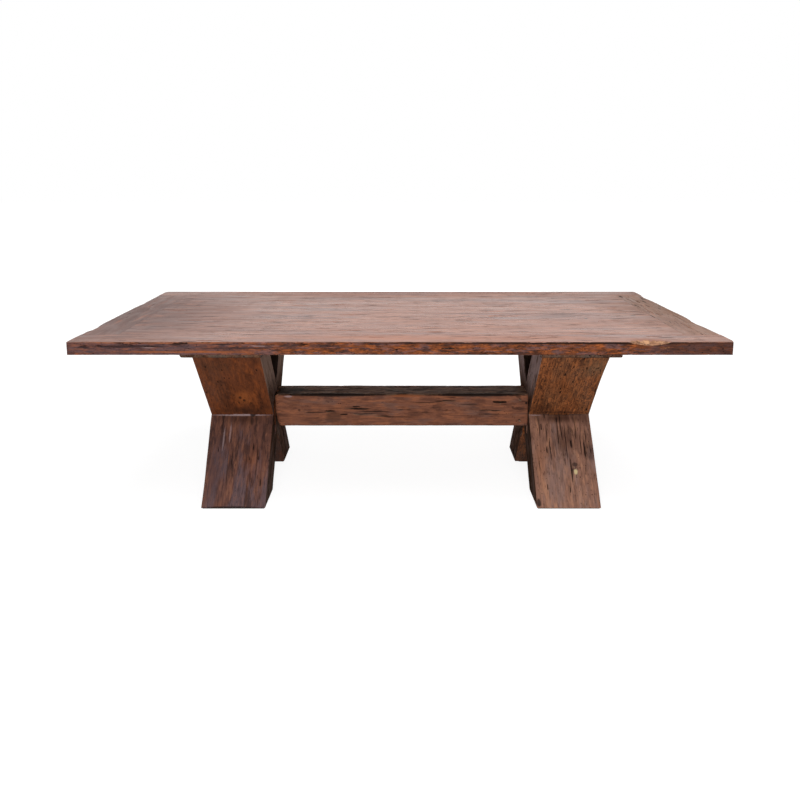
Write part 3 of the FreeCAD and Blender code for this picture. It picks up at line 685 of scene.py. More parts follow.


# Marks end with their tone and strength. Zones are broad changes of tone: most are in the wood,
# some are painted shade and one is a painted highlight, as noted. They end with tone and
# strength, and where they aren't the usual ones softness and raggedness.
# Painted shade: the top is darkened towards its rear and towards both ends.
TOP_SHADE_ZONES = on_face(top_face, [
    (0, 600, 1600, 360, 200, (112, 70, 52), 0.6, 0.9, 0.3),
    (-1150, -50, 660, 900, 200, (84, 61, 56), 0.85, 0.9, 0.3),
    (1280, 100, 480, 900, 200, (96, 64, 42), 0.75, 0.9, 0.3)])
LIP_ZONES = TOP_SHADE_ZONES + on_face(top_face, [
    (150, -470, 1000, 60, 50, (166, 118, 98), 0.4, 0.9, 0.4)])
REAR_MARKS = on_face(top_face, [
    (0, HALF_WIDTH / MM + 4, 1300, 22, 20, (70, 40, 30), 0.85)])
TOP_MARKS = on_face(top_face, [
    (787, -129, 10, 12, 20, BLACK, 0.9),
    (915, -129, 34, 7, 20, BLACK, 0.7),
    (1009, -68, 16, 12, 20, BLACK, 0.8),
    (749, 63, 40, 10, 20, BLACK, 0.6)])
EDGE_CHIPPED = on_face(front_edge, [
    (-750, 761, 380, 30, 10),
    (-300, 757, 200, 30, 12)])
EDGE_MARKS = on_face(front_edge, [
    (-806, 759, 30, 20, 3.5, BLACK, 0.9),
    (-660, 757, 60, 20, 3, BLACK, 0.7),
    # painted highlights, the next two
    (-930, 745, 30, 20, 4, LILAC, 0.5),
    (-520, 751, 35, 20, 4, LILAC, 0.5),
    (-1000, 749, 180, 20, 6, (40, 31, 33), 0.8),
    (-620, 742, 150, 20, 5, (44, 33, 33), 0.7),
    (-300, 750, 50, 20, 8, (44, 33, 33), 0.6),
    (-800, 728, 300, 20, 5, (150, 84, 46), 0.6),
    (620, 762, 550, 20, 3.5, BLACK, 0.8)])
EDGE_ZONES = on_face(front_edge, [
    # painted highlight: a lilac-grey sheen over the left of the edge
    (-950, 741, 600, 50, 200, (92, 72, 74), 0.6, 0.8, 0.5),
    (1120, 741, 260, 50, 200, (66, 45, 41), 0.65, 0.5, 0.4),
    (500, 762, 850, 30, 7, (30, 20, 17), 0.8, 0.5, 0.5),
    (-850, 763, 400, 30, 6, (150, 88, 52), 0.6, 0.5, 0.5),
    (200, 716, 1100, 30, 4, (40, 26, 22), 0.7, 0.5, 0.5)])
BEAM_MARKS = [
    # painted shadow line along the top front arris of the beam, the next two
    ((-0.30, BEAM_LOW.y + 5 * MM, BEAM_HIGH.z - 4 * MM), (0.30, 0.018, 0.009), BLACK, 0.95),
    ((0.33, BEAM_LOW.y + 5 * MM, BEAM_HIGH.z - 4 * MM), (0.27, 0.018, 0.009), BLACK, 0.95),
    # painted shadow where the beam's top meets the left trestle
    ((-0.50, BEAM_LOW.y + 60 * MM, BEAM_HIGH.z), (0.09, 0.06, 0.03), BLACK, 0.7)
] + on_face(beam_face, [
    (0, 266, 620, 10, 4, BLACK, 0.6),
    # painted shade at the beam's left end, by the leg
    (-563, 337, 7, 30, 90, BLACK, 0.8),
    (-452, 338, 8, 20, 8, BLACK, 0.6),
    (-500, 400, 22, 20, 6, LILAC, 0.7),
    (30, 402, 90, 20, 8, (150, 86, 50), 0.6),
    (555, 370, 7, 20, 9, BLACK, 0.9),
    (-300, 305, 45, 20, 35, (60, 40, 31), 0.55),
    (-180, 343, 55, 20, 7, BLACK, 0.85),
    (-120, 331, 80, 20, 5, BLACK, 0.8),
    (-380, 327, 60, 20, 5, BLACK, 0.7),
    (-20, 306, 90, 20, 4, BLACK, 0.6),
    (100, 372, 70, 20, 4, BLACK, 0.7),
    (300, 364, 50, 20, 4, BLACK, 0.6),
    (400, 318, 80, 20, 4, BLACK, 0.6),
    (520, 400, 16, 20, 10, BLACK, 0.6)])

# The wood of each leg of a trestle, its marks and zones, and where it is full of checks.
LEG_LOOKS = {
    "left_leg_a": (
        ARM_WOOD,
        on_face(upper_face, [
            (-690, 425, 9, 12, 13, BLACK, 0.75),
            (-676, 409, 8, 10, 12, BLACK, 0.8),
            (-650, 392, 7, 10, 12, BLACK, 0.6),
            (-700, 395, 6, 10, 12, BLACK, 0.6),
            (-715, 440, 6, 10, 10, BLACK, 0.5)]),
        on_face(upper_face, [
            (-670, 430, 70, 70, 70, AMBER, 0.7, 0.8, 0.5),
            # painted shadow under the cleat
            (-720, 600, 110, 60, 70, (74, 50, 38), 0.5),
            # painted shade where the arm meets the crossing, and along its inner edge by the
            # stretcher
            (-700, 345, 170, 50, 45, UMBER, 0.8),
            (-580, 380, 40, 60, 70, UMBER, 0.6)]),
        ()),
    "left_leg_b": (
        DARK_WOOD,
        on_face(lower_face, [
            (-700, 3, 160, 20, 11, BLACK, 0.9),
            (-770, 236, 4.5, 50, 75, LILAC, 0.6),
            (-744, 258, 4.5, 50, 60, LILAC, 0.5),
            (-655, 300, 8, 20, 36, BLACK, 0.6)]) +
        on_face(crossing_line, [
            # painted highlight along the joint at the crossing
            (-700, 323, 160, 10, 6, LILAC, 1.0),
            (-653, 325, 16, 20, 12, BLACK, 0.9)]),
        on_face(lower_face, [
            (-630, 150, 70, 120, 130, AMBER, 0.15),
            (-790, 120, 60, 200, 200, (78, 60, 62), 0.6),
            # painted shadow under the crossing
            (-700, 310, 160, 50, 35, UMBER, 0.7)]),
        ()),
    "right_leg_a": (
        PALE_WOOD,
        on_face(lower_face, [
            (742, 149, 16, 12, 12, BLACK, 0.7),
            (733, 130, 9, 12, 14, BLACK, 0.5),
            (741, 124, 10, 12, 14, CREAM, 0.95),
            (573, 22, 12, 20, 22, BLACK, 0.85)]) +
        on_face(crossing_line, [
            (700, 323, 150, 6, 3, BLACK, 0.7),
            # painted highlight along the joint
            (590, 321, 35, 6, 3, LILAC, 0.6)]),
        on_face(lower_face, [
            # painted shadow under the crossing
            (700, 312, 180, 50, 30, UMBER, 0.85, 0.9, 0.4),
            (720, 230, 110, 120, 60, (84, 58, 48), 0.5),
            (810, 190, 35, 50, 45, (46, 32, 28), 0.45, 0.5, 0.6),
            (600, 150, 40, 120, 120, (152, 100, 72), 0.4)]),
        on_face(lower_face, [
            (730, 245, 75, 100, 65),
            (690, 170, 30, 70, 50),
            (800, 190, 30, 50, 35)])),
    "right_leg_b": (
        CURLY_WOOD,
        (),
        on_face(upper_face, [
            (800, 600, 90, 90, 100, (120, 94, 72), 0.5),
            (670, 490, 70, 80, 100, AMBER, 0.4),
            (620, 360, 100, 60, 60, (66, 38, 24), 0.7),
            # painted shade along the crossing
            (700, 335, 160, 20, 14, UMBER, 0.7, 0.8, 0.4)]),
        on_face(upper_face, [
            (790, 590, 75, 80, 75),
            (620, 400, 50, 60, 60)]))}


# ---- the natural ends of the top

# Along Y, and how far the natural end stands inside the full length there, both in millimetres.
LEFT_END = [(-534, 1.5), (-515, 0.5), (-497, 0), (-368, 1), (-334, 8.5), (-299, 9.5), (-263, 4),
            (-226, 0.5), (63, 0), (110, 0), (157, 1.5), (207, 5), (257, 1.5), (310, 0),
            (478, 0), (515, 1), (534, 11)]
RIGHT_END = [(-534, 10), (-515, 5), (-497, 4), (-402, 5), (-334, 8), (-299, 9), (-263, 13),
             (-226, 16.5), (-188, 15.5), (-149, 8.5), (-109, 5.5), (-25, 5.5), (63, 8),
             (157, 8.5), (207, 9), (257, 10), (310, 13.5), (364, 18), (392, 15.5), (420, 11),
             (478, 9), (515, 9), (534, 14)]


def end_inset(side, y):
    """How far the natural end stands inside the table's full length, y metres from its middle."""
    points = RIGHT_END if side > 0 else LEFT_END
    fine = 0.7 * MM * ripple((y, 0, 0), (35, 0, 0), 3 if side > 0 else 8)
    inset = points[-1][1]
    for (start, first), (end, second) in zip(points, points[1:]):
        if y / MM <= end:
            inset = first + (second - first) * smooth((y / MM - start) / (end - start))
            break
    return inset * MM + fine


def drawn_in(x, y):
    """A point of a full-length board, drawn in to the table's natural ends."""
    end_width = HALF_LENGTH - FIELD_HALF_LENGTH
    share = max(0.0, (abs(x) - FIELD_HALF_LENGTH) / end_width)
    return math.copysign(abs(x) - end_inset(x, y) * share ** 3, x)


WANE_X = 0.914
WANE_HALF = 0.082
WANE_DROP = 13 * MM
WANE_REACH = 44 * MM


def scoop(x, inside):
    """How far the top dips where the bark once was, given how far inside the edge a point is."""
    share = (x - WANE_X) / WANE_HALF
    missing = max(0.0, 1 - share * share) ** 1.3
    return WANE_DROP * missing * max(0.0, 1 - inside / WANE_REACH) ** 1.5


# ---- the top


def along_table(x, y, z, waned=False):
    """A board that lies along the table, with its near corner at x, y, z."""
    def place(point):
        spot = Vector((x + point.x, y + point.y, z + point.z))
        if abs(spot.x) > FIELD_HALF_LENGTH + MM:
            spot.x = drawn_in(spot.x, spot.y)
        if waned:
            spot.z -= scoop(spot.x, point.y) * point.z / (TOP_FACE - UNDERSIDE)
        return spot
    return place


def build_border(node, y, seed, front):
    size = (2 * HALF_LENGTH, BORDER_WIDTH, TOP_FACE - UNDERSIDE)
    lip, inner = (NEAR, FAR) if front else (FAR, NEAR)

    def radius(start, sides):
        if sides[ACROSS] != lip:
            return 0.35 * MM
        if sides[THROUGH] == FAR and front:
            return (2.0 + 1.5 * ripple(start, (6, 0, 0), seed)) * MM
        return 1.5 * MM

    def hollow(axis, side, start):
        if not front:
            return 0.0
        x = start.x - HALF_LENGTH
        deep = 0.0
        if axis == THROUGH and side == FAR:
            pecked = ripple(start, (190, 210, 0), seed + 2) ** 2
            deep += 2.2 * MM * pecked * min(1.0, scoop(x, start.y) / (2 * MM))
            deep += 1.2 * MM * math.exp(-(start.y / 0.012) ** 2) * ripple(
                start, (26, 0, 0), seed + 6)
        if axis == ACROSS and side == lip:
            rows = ripple(start, (8, 0, 80), seed + 11)
            deep += 1.6 * MM * rows * rows
        return deep

    chance = random.Random(seed)
    gashes = [Gash(ACROSS, lip, chance.uniform(0.15, 2.25), chance.uniform(6, 43) * MM,
                   chance.uniform(0.03, 0.10), chance.uniform(1.2, 2.6) * MM,
                   chance.uniform(2, 4) * MM, chance.uniform(0.5, 2.0) * MM) for _ in range(14)]
    gashes += stray_gashes(size, seed + 1, 8, [(THROUGH, FAR), (THROUGH, FAR), (THROUGH, NEAR)])
    return worked_timber(
        node, size, 3 * MM, (4 * MM, 9 * MM, 5 * MM),
        along_table(-HALF_LENGTH, y, UNDERSIDE, front), seed, gashes,
        wear=0.6 if front else 0.25, hollow=hollow, radius=radius,
        chips=(4 if front else 1) * MM, joined={(ACROSS, inner)})


def build_field(number):
    front = FIELD_EDGES[number - 1]
    width = FIELD_EDGES[number] - front
    size = (2 * FIELD_HALF_LENGTH, width, TOP_FACE - UNDERSIDE)
    gashes = stray_gashes(size, number * 11, 12, [(THROUGH, FAR)] * 4 + [(THROUGH, NEAR)])
    return worked_timber(
        "field_board_%d" % number, size, 0.8 * MM, (12 * MM, 11 * MM, 12 * MM),
        along_table(-FIELD_HALF_LENGTH, front, UNDERSIDE), number * 3.7, gashes, wear=0.6,
        radius=lambda start, sides: 0.35 * MM, end_radius=lambda start, sides: 0.3 * MM,
        joined={(ACROSS, NEAR), (ACROSS, FAR), (GRAIN, NEAR), (GRAIN, FAR)})


def build_end(node, side, seed):
    size = (2 * HALF_WIDTH - 2 * BORDER_WIDTH, HALF_LENGTH - FIELD_HALF_LENGTH,
            TOP_FACE - UNDERSIDE)

    def place(point):
        y = BORDER_WIDTH - HALF_WIDTH + point.x
        x = drawn_in(side * (FIELD_HALF_LENGTH + point.y), y)
        return Vector((x, y, UNDERSIDE + point.z))

    def radius(start, sides):
        if sides[ACROSS] == NEAR:
            return 0.35 * MM
        return (3.2 if sides[THROUGH] == FAR else 2.2) * MM

    def hollow(axis, edge, start):
        if axis == ACROSS and edge == FAR:
            return 2.0 * MM * ripple(start, (28, 0, 55), seed + 3) ** 2
        if axis == THROUGH and edge == FAR:
            inside = size[ACROSS] - start.y
            return 0.6 * MM * math.exp(-(inside / 0.014) ** 2) * ripple(start, (22, 0, 0), seed)
        return 0.0

    top_checks = 14 if side > 0 else 4
    gashes = stray_gashes(size, int(seed), top_checks, [(THROUGH, FAR)] * 3 + [(ACROSS, FAR)])
    return worked_timber(
        node, size, 3 * MM, (6 * MM, 10 * MM, 7 * MM), place, seed, gashes, wear=0.6,
        hollow=hollow, radius=radius, end_radius=lambda start, sides: 0.3 * MM, chips=2 * MM,
        joined={(ACROSS, NEAR), (GRAIN, NEAR), (GRAIN, FAR)})


def where_bark_was(face):
    ragged = ripple(face.center, (60, 60, 0), 5) * 2.0 * MM
    inside = face.center.y + HALF_WIDTH
    return face.normal.z > 0.3 and scoop(face.center.x, inside) > ragged + 0.8 * MM


def build_top():
    for node, y, front in (("front_border_board", -HALF_WIDTH, True),
                           ("rear_border_board", HALF_WIDTH - BORDER_WIDTH, False)):
        piece = build_border(node, y, 12 if front else 31, front)
        middle = (0, y + BORDER_WIDTH / 2, TOP_MIDDLE)
        lay = (X_AXIS, middle, 5.1 if front else 8.3, (0.03, 0.07))
        face = timber_finish(node + "-oiled", TOP_WOOD, *lay, marks=() if front else REAR_MARKS,
                             zones=LIP_ZONES if front else TOP_SHADE_ZONES)
        edge = timber_finish(node + "-edge", EDGE_WOOD, *lay, marks=EDGE_MARKS,
                             zones=EDGE_ZONES if front else (), checked=EDGE_CHIPPED)
        others = [(edge, facing(-Y_AXIS if front else Y_AXIS)), (edge, facing(X_AXIS)),
                  (edge, facing(-X_AXIS))]
        if front:
            others.append((pecky_finish("pecky-wane", 3.0), where_bark_was))
        fit(piece, node, face, others)
    for number in range(1, 7):
        node = "field_board_%d" % number
        middle = (0, (FIELD_EDGES[number - 1] + FIELD_EDGES[number]) / 2, TOP_MIDDLE)
        finish = timber_finish(
            node + "-oiled", TOP_WOOD, X_AXIS, middle, number * 2.9,
            (0.02 * (number % 3) - 0.02, 0.06 + 0.015 * (number % 2)), TOP_MARKS, TOP_SHADE_ZONES)
        fit(build_field(number), node, finish)
    for node, side, seed in (("left_end_board", -1, 41.0), ("right_end_board", 1, 53.0)):
        middle = (side * (HALF_LENGTH + FIELD_HALF_LENGTH) / 2, 0, TOP_MIDDLE)
        wood = dict(TOP_WOOD, body=(118, 78, 54), deep_share=0.2, pale_share=0.2, checks=0.3,
                    specks=0.45, streak=(9, 30, 30), hair=(12, 60, 60), hairs=0.7, specular=0.31)
        if side < 0:
            wood.update(body=(116, 76, 62), grey=(96, 70, 66), checks=0.05, hairs=0.15,
                        specular=0.29)
        lay = (Y_AXIS, middle, seed * 0.13, (0.05, 0.05))
        face = timber_finish(node + "-oiled", wood, *lay, zones=TOP_SHADE_ZONES)
        edge = timber_finish(node + "-edge", EDGE_WOOD, *lay)
        fit(build_end(node, side, seed), node, face, [(edge, facing(X_AXIS * side))])


# ---- the trestles

TENON_Y = 50 * MM
MORTISE_HALF = 12.5 * MM
MORTISE_DEPTH = 46 * MM
MORTISE_FOOT = 222 * MM
MORTISE_HEAD = BEAM_HIGH.z - 30 * MM

# How far the inner face of a foot stands out towards the middle of the table at its sole.
SPLAY = {"right_leg_b_inner_foot": 15 * MM}

# Open checks in the front face of a leg: along the timber and across it from its near side in
# metres, then their length in metres and width in millimetres.
LEG_GASHES = {
    "right_leg_a_middle_foot": [(0.30, 0.045, 0.13, 5.0), (0.26, 0.030, 0.10, 3.6),
                                (0.22, 0.062, 0.15, 4.0), (0.33, 0.066, 0.08, 4.0),
                                (0.16, 0.040, 0.07, 3.0)],
    "right_leg_a_inner": [(0.31, 0.070, 0.08, 3.2), (0.24, 0.080, 0.10, 4.2),
                          (0.17, 0.066, 0.09, 4.0)],
    "right_leg_a_outer": [(0.33, 0.020, 0.10, 4.0), (0.26, 0.035, 0.10, 4.4),
                          (0.29, 0.060, 0.09, 4.0), (0.24, 0.050, 0.07, 4.2),
                          (0.20, 0.070, 0.05, 4.0)],
    "left_leg_b_outer_foot": [(0.29, 0.052, 0.07, 2.4)],
    "left_leg_b_middle": [(0.30, 0.050, 0.05, 2.4)]}


def leg_facts(node):
    """A leg timber's end of the table, its layer from the inside, and whether it leans back."""
    side = 1 if node.startswith("right") else -1
    stave = 0 if "inner" in node else 1 if "middle" in node else 2
    return side, stave, ("_leg_a_" in node) == (side > 0)


def leg_place(corners, x_near, side, length, splay):
    """Carry a bench timber to a leg's corners: foot front, foot rear, head front, head rear."""
    foot_front, foot_rear, head_front, head_rear = [Vector((0, y, z)) for y, z in corners]

    def place(point):
        depth = point.y / LEG_THICKNESS
        foot = foot_front.lerp(foot_rear, depth)
        head = head_front.lerp(head_rear, depth)
        spot = foot.lerp(head, point.x / length)
        x = x_near + point.z
        from_outside = (LEG_OUTSIDE - abs(x)) / STAVE_WIDTH
        spot.x = x + side * flare(side, spot.z) * max(0.0, 1 - from_outside)
        from_inside = (abs(x) - BEAM_HALF_LENGTH) / STAVE_WIDTH
        grown = clamp((BEAM_LOW.z - 2 * MM - spot.z) / 0.08)
        spot.x -= side * splay * grown * max(0.0, 1 - from_inside)
        return spot
    return place


def flare(side, z):
    """How far a trestle's outer face stands out past square, growing up its height."""
    if side < 0:
        return 8 * MM * smooth((z - 0.05) / 0.3)
    return 8 * MM * clamp((z - 0.45) / 0.2) ** 2


def leg_corners(part, leans_back):
    """Front and rear corner at the foot end of a length of leg, then at its head end."""
    corners = {
        "whole": ((-TOE, FOOT_Z), (-TOE + LEG_CUT, FOOT_Z), (TOE - LEG_CUT, HEAD_Z),
                  (TOE, HEAD_Z)),
        "foot": ((-TOE, FOOT_Z), (-TOE + LEG_CUT, FOOT_Z), (-CROSSING_HALF, CROSSING_Z),
                 (0, CROSSING_Z - CROSSING_RISE)),
        "head": ((0, CROSSING_Z + CROSSING_RISE), (CROSSING_HALF, CROSSING_Z),
                 (TOE - LEG_CUT, HEAD_Z), (TOE, HEAD_Z))}[part]
    if leans_back:
        return corners
    mirrored = [(-y, z) for y, z in corners]
    return [mirrored[1], mirrored[0], mirrored[3], mirrored[2]]


def build_leg_timber(node, soft_seams):
    """One of the nine timbers of a trestle, named for where it is."""
    side, stave, leans_back = leg_facts(node)
    part = "head" if node.endswith("head") else "foot" if node.endswith("foot") else "whole"
    corners = leg_corners(part, leans_back)
    x_near = BEAM_HALF_LENGTH + stave * STAVE_WIDTH
    if side < 0:
        x_near = -x_near - STAVE_WIDTH
    middles = [(Vector((0, *corners[first])) + Vector((0, *corners[first + 1]))) / 2
               for first in (0, 2)]
    length = (middles[1] - middles[0]).length
    size = (length, LEG_THICKNESS, STAVE_WIDTH)
    seed = sum(ord(letter) * (place + 3) for place, letter in enumerate(node)) % 97
    outward = FAR if side > 0 else NEAR
    shown = {0: 1 - outward, 1: None, 2: outward}[stave]
    faces = [(ACROSS, NEAR), (ACROSS, FAR)] if not soft_seams else [(ACROSS, FAR)]
    if shown is not None:
        faces += [(THROUGH, shown), (THROUGH, shown)]
    gashes = stray_gashes(size, seed, 4, faces)
    for along, cross, run, width in LEG_GASHES.get(node, ()):
        gashes.append(Gash(ACROSS, NEAR, along, cross, run, width * MM, 7 * MM, 2.5 * MM))

    def radius(start, sides):
        if shown is not None and sides[THROUGH] == shown:
            return 3.2 * MM
        return (0.3 if soft_seams else 0.9) * MM

    def hollow(axis, edge, start):
        if part == "head" or axis != THROUGH or edge != shown or start.x > 0.05:
            return 0.0
        share = 1 - start.x / 0.05
        return (5 if side > 0 else 1.5) * MM * share * share * ripple(start, (40, 30, 30), seed)

    joined = {(GRAIN, FAR)} | {(THROUGH, face) for face in (NEAR, FAR) if face != shown}
    if part == "head":
        joined.add((GRAIN, NEAR))
    piece = worked_timber(
        node, size, 2.5 * MM, (10 * MM, 13 * MM, 11 * MM),
        leg_place(corners, x_near, side, length, SPLAY.get(node, 0.0)), seed, gashes,
        hollow=hollow, radius=radius, chips=1.8 * MM, joined=joined)
    if stave == 2 and part == "whole":
        bits = bmesh.new()
        for height in BOLT_HEIGHTS:
            drill_bit(bits, Vector((side * (LEG_OUTSIDE - POCKET_DEPTH + 25 * MM), 0, height)),
                      X_AXIS, POCKET_RADIUS, 50 * MM)
        cut_away(piece, bits)
    if stave == 0 and part != "head":
        bits = bmesh.new()
        for y in (-TENON_Y, TENON_Y):
            near = Vector((BEAM_HALF_LENGTH - 20 * MM, y - MORTISE_HALF, MORTISE_FOOT))
            far = Vector((BEAM_HALF_LENGTH + MORTISE_DEPTH, y + MORTISE_HALF, MORTISE_HEAD))
            if side < 0:
                near.x, far.x = -far.x, -near.x
            chisel(bits, near, far)
        cut_away(piece, bits)
    return piece


def within_the_cross(face):
    """The faces of the arms that look at each other, above the crossing."""
    return face.normal.z > 0.3 and face.center.z > CROSSING_Z + 0.5 * CROSSING_RISE


def build_trestle(name):
    side = 1 if name == "right" else -1
    timbers = ["leg_a_inner", "leg_a_outer", "leg_a_middle_head", "leg_a_middle_foot",
               "leg_b_middle", "leg_b_inner_head", "leg_b_inner_foot", "leg_b_outer_head",
               "leg_b_outer_foot"]
    for number, timber in enumerate(timbers):
        node = name + "_" + timber
        stave, leans_back = leg_facts(node)[1:]
        wood, marks, zones, checked = LEG_LOOKS[node[:node.index("leg") + 5]]
        grain = Vector((0, math.sin(LEAN) * (1 if leans_back else -1), math.cos(LEAN)))
        # The timbers of an arm come from one log, so their figure runs on over the seams.
        arm = wood in (ARM_WOOD, CURLY_WOOD)
        if arm:
            seed, pith, x = 3.0 + side, (0.06, -0.12), side * 0.7
        else:
            seed = number * 3.1 + (20 if side > 0 else 1)
            pith = (0.03 * (number % 3) + 0.02, 0.07 - 0.03 * (number % 2))
            x = side * (BEAM_HALF_LENGTH + (stave + 0.5) * STAVE_WIDTH)
        lay = (grain, (x, 0, CROSSING_Z), seed, pith)
        # Painted shade: each leg darkens towards the rear of the table, more on the left trestle.
        finish = timber_finish(node + "-oiled", wood, *lay, marks, zones, checked,
                               painted_rear_shade=0.5 if side < 0 else 0.7)
        others = []
        if stave == 0:
            # The faces that look in get the darker copy as painted shade, made lighter towards
            # their tops.
            paler_upper_band = ((side * BEAM_HALF_LENGTH, 0, 0.60), (0.1, 0.5, 0.20),
                     (166, 140, 126) if side < 0 else (184, 160, 157), 0.9, 0.6, 0.3)
            inside = timber_finish(node + "-inside", SHADED_INSIDE_WOOD, *lay, zones=[paler_upper_band])
            others.append((inside, facing(X_AXIS * -side)))
        # Painted shade: the arm faces inside the cross are laid near black.
        if not timber.endswith("foot"):
            others.append((timber_finish(node + "-painted-shade", CROSS_SHADE_WOOD, *lay), within_the_cross))
        fit(build_leg_timber(node, arm), node, finish, others)
    node = name + "_cleat"
    middle = (side * 0.72, 0, (HEAD_Z + UNDERSIDE) / 2)
    finish = timber_finish(node + "-oiled", CLEAT_WOOD, Y_AXIS, middle, side * 4.4, (0.08, 0.09))
    fit(build_cleat(node, side, 60.0 + side), node, finish)


def build_cleat(node, side, seed):
    size = (2 * TOE, CLEAT_OUTSIDE - CLEAT_INSIDE, UNDERSIDE - HEAD_Z)

    def place(point):
        return Vector((side * (CLEAT_INSIDE + point.y), -TOE + point.x, HEAD_Z + point.z))

    def radius(start, sides):
        if sides[ACROSS] == FAR and sides[THROUGH] == NEAR:
            return 9 * MM
        return 2 * MM

    gashes = stray_gashes(size, int(seed), 6, [(ACROSS, FAR), (ACROSS, NEAR)], 10 * MM)
    return worked_timber(node, size, 4 * MM, (12 * MM, 16 * MM, 9 * MM), place, seed, gashes,
                         wear=0.6, radius=radius, chips=1.5 * MM)


# ---- the stretcher

# Open checks in the beam's front face: along it, up it and their length, in metres.
STRETCHER_GASHES = [(0.355, 0.082, 0.085), (0.400, 0.055, 0.110), (0.480, 0.045, 0.07),
                    (0.62, 0.060, 0.06), (0.76, 0.115, 0.10), (0.83, 0.108, 0.14),
                    (0.93, 0.050, 0.08), (0.96, 0.072, 0.10), (1.02, 0.040, 0.07),
                    (1.00, 0.112, 0.07), (0.245, 0.070, 0.05)]


def build_stretcher():
    size = (2 * BEAM_HALF_LENGTH, BEAM_HIGH.y - BEAM_LOW.y, BEAM_HIGH.z - BEAM_LOW.z)

    def place(point):
        trimmed = max(0.0, 1 - point.x / 0.05) * max(0.0, 1 - point.z / 0.075)
        x = -BEAM_HALF_LENGTH + point.x + 20 * MM * trimmed * max(0.0, 1 - point.y / 0.06)
        return Vector((x, BEAM_LOW.y + point.y, BEAM_LOW.z + point.z))

    def radius(start, sides):
        if sides[THROUGH] == NEAR:
            return 4 * MM
        worn = math.exp(-((start.x - 0.60) / 0.10) ** 2)
        if sides[ACROSS] == NEAR:
            return (5 + 3 * ripple(start, (5, 0, 0), 21) + 9 * worn) * MM
        return (4 + 4 * ripple(start, (5, 0, 0), 22)) * MM

    def end_radius(start, sides):
        return (20 if sides[GRAIN] == NEAR and sides[ACROSS] == NEAR else 1.5) * MM

    def hollow(axis, edge, start):
        if axis == THROUGH and edge == FAR:
            behind = start.y / size[ACROSS]
            return 4.0 * MM * ripple(start, (7, 5, 0), 44) ** 2 * (0.4 + 0.6 * behind)
        if axis == ACROSS:
            return 1.0 * MM * ripple(start, (6, 0, 22), 51)
        return 0.0

    chance = random.Random(5)
    gashes = [Gash(ACROSS, NEAR, along, up, run, chance.uniform(3.0, 5.5) * MM,
                   chance.uniform(5, 9) * MM, 2.5 * MM) for along, up, run in STRETCHER_GASHES]
    gashes += stray_gashes(size, 77, 9, [(ACROSS, FAR), (THROUGH, FAR), (THROUGH, FAR),
                                         (THROUGH, NEAR)])
    piece = worked_timber(
        "stretcher-beam", size, 8 * MM, (7 * MM, 9 * MM, 9 * MM), place, 17, gashes, wear=0.8,
        hollow=hollow, radius=radius, end_radius=end_radius, chips=3 * MM)
    bits = bmesh.new()
    for height in BOLT_HEIGHTS:
        for side in (-1, 1):
            face = BEAM_LOW.y if side > 0 else BEAM_HIGH.y
            drill_bit(bits, Vector((side * NUT_X, face, height)), Y_AXIS, NUT_RADIUS, 104 * MM)
    cut_away(piece, bits)
    return piece


def build_base():
    build_trestle("left")
    build_trestle("right")
    # The beam's upward face gets its own copy of the wood: greyer, and streaked more with dark.
    upward_face_wood = dict(BEAM_WOOD, body=(116, 90, 74), pale=(160, 128, 106), deep=(50, 37, 30),
                     grey=(112, 94, 82), deep_share=0.8, pale_share=0.7, specular=0.02)
    face, back = [timber_finish("stretcher-" + kind, wood, X_AXIS, (BEAM_LOW + BEAM_HIGH) / 2,
                                6.6, (0.02, 0.11), BEAM_MARKS)
                  for kind, wood in (("oiled", BEAM_WOOD), ("upward_face_wood", upward_face_wood))]
    fit(build_stretcher(), "stretcher", face, [(back, facing(Z_AXIS))])
    steel = steel_finish()
    for node, finish in (("stretcher_bolts", steel), ("stretcher_washers", steel),
                         ("barrel_nuts", steel), ("lag_screws", steel),
                         ("floor_pads", felt_finish())):
        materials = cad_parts[node].data.materials
        materials.clear()
        materials.append(finish)


# ---- studio


def seen_rays(nodes):
    """1 for what the camera sees, directly, in a gloss or through glass, and 0 for the rest."""
    path = nodes.node("LightPath")
    total = path.outputs["Is Camera Ray"]
    for name in ("Is Glossy Ray", "Is Transmission Ray"):
        total = nodes.most(total, path.outputs[name])
    return total


def build_floor():
    bpy.ops.mesh.primitive_plane_add(size=60)
    floor = bpy.context.object
    floor.name = "studio-floor"
    material = bpy.data.materials.new("pale-floor")
    material.use_nodes = True
    material.node_tree.nodes.clear()
    nodes = Nodes(material.node_tree)
    away = nodes.vector("LENGTH", nodes.node("TexCoord").outputs["Object"])
    brighter = nodes.between(away, 1.2, 3.5, 0.89, 1.0, "LINEAR")
    glow = nodes.node("Emission", {"Strength": nodes.times(seen_rays(nodes), brighter)})
    paint = nodes.node("BsdfDiffuse", {"Color": (0.28, 0.28, 0.28, 1)})
    both = nodes.node("AddShader", {0: glow.outputs[0], 1: paint.outputs[0]})
    nodes.node("OutputMaterial", {"Surface": both.outputs[0]})
    floor.data.materials.append(material)


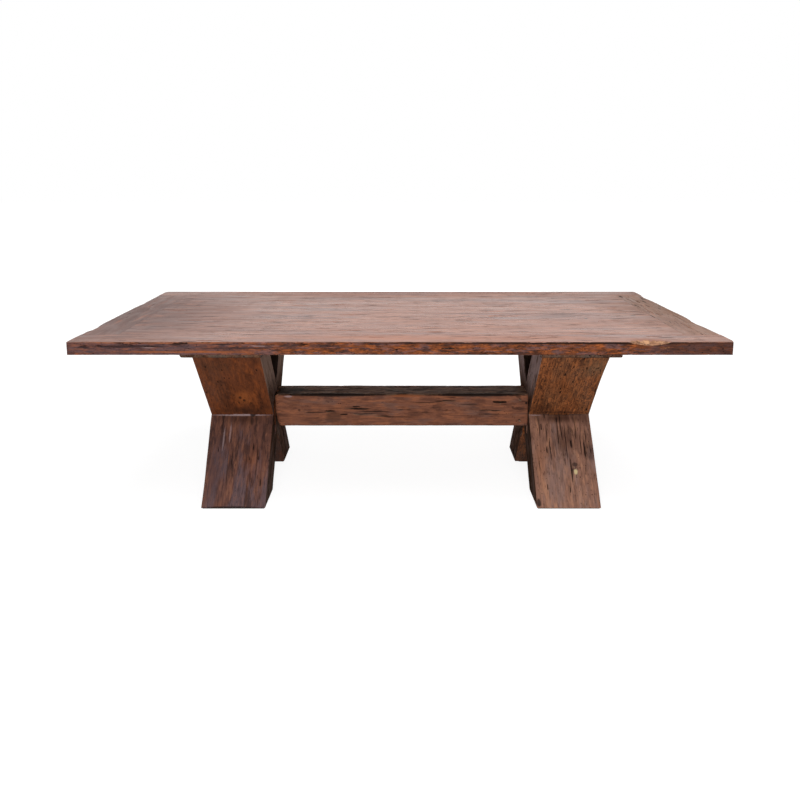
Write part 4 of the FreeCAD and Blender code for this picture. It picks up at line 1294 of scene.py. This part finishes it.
def build_sky():
    world = bpy.data.worlds.new("studio")
    bpy.context.scene.world = world
    world.use_nodes = True
    nodes = Nodes(world.node_tree)
    sky = nodes.tree.nodes["Background"]
    nodes.feed(sky.inputs["Color"], (1, 1, 1, 1))
    nodes.feed(sky.inputs["Strength"], nodes.between(seen_rays(nodes), 0, 1, 0.12, 1, "LINEAR"))


# Each lamp: its place, the height it aims at over the table's middle, its size in metres, its
# power, and whether it is seen in a gloss.
LAMPS = {
    "overhead": ((0.3, -0.8, 3.4), 0.6, (3.4, 2.6), 120, True),
    "front": ((0.0, -5.2, 1.1), 0.4, (3.2, 1.6), 200, False),
    "rear": ((0.0, 5.2, 1.1), 0.4, (3.2, 1.6), 80, False),
    "left": ((-5.2, 0.4, 1.1), 0.4, (2.4, 1.6), 34, False),
    "right": ((5.2, 0.4, 1.1), 0.4, (2.4, 1.6), 34, False)}


def build_lamps():
    for name, (place, aim, size, power, in_gloss) in LAMPS.items():
        data = bpy.data.lights.new(name, "AREA")
        data.shape = "RECTANGLE"
        data.size, data.size_y = size
        data.energy = power
        lamp = bpy.data.objects.new(name, data)
        lamp.location = place
        view = Vector((0, 0, aim)) - lamp.location
        lamp.rotation_euler = view.to_track_quat("-Z", "Y").to_euler()
        lamp.visible_camera = False
        lamp.visible_glossy = in_gloss
        bpy.context.scene.collection.objects.link(lamp)


PICTURE = 800
FOCAL = 671.156
PICTURE_MIDDLE = (401.1, 271.33)
EYE = (0, -2.9283, 1.3721)
EYE_TILT = math.radians(8.198)


def build_camera():
    data = bpy.data.cameras.new("camera")
    data.sensor_width = 36
    data.lens = FOCAL * data.sensor_width / PICTURE
    data.shift_x = (PICTURE / 2 - PICTURE_MIDDLE[0]) / PICTURE
    data.shift_y = (PICTURE_MIDDLE[1] - PICTURE / 2) / PICTURE
    camera = bpy.data.objects.new("camera", data)
    camera.location = EYE
    camera.rotation_euler = (math.pi / 2 - EYE_TILT, 0, 0)
    bpy.context.scene.collection.objects.link(camera)
    bpy.context.scene.camera = camera


build_top()
build_base()
build_floor()
build_sky()
build_lamps()
build_camera()

bpy.context.scene.view_settings.view_transform = "Standard"
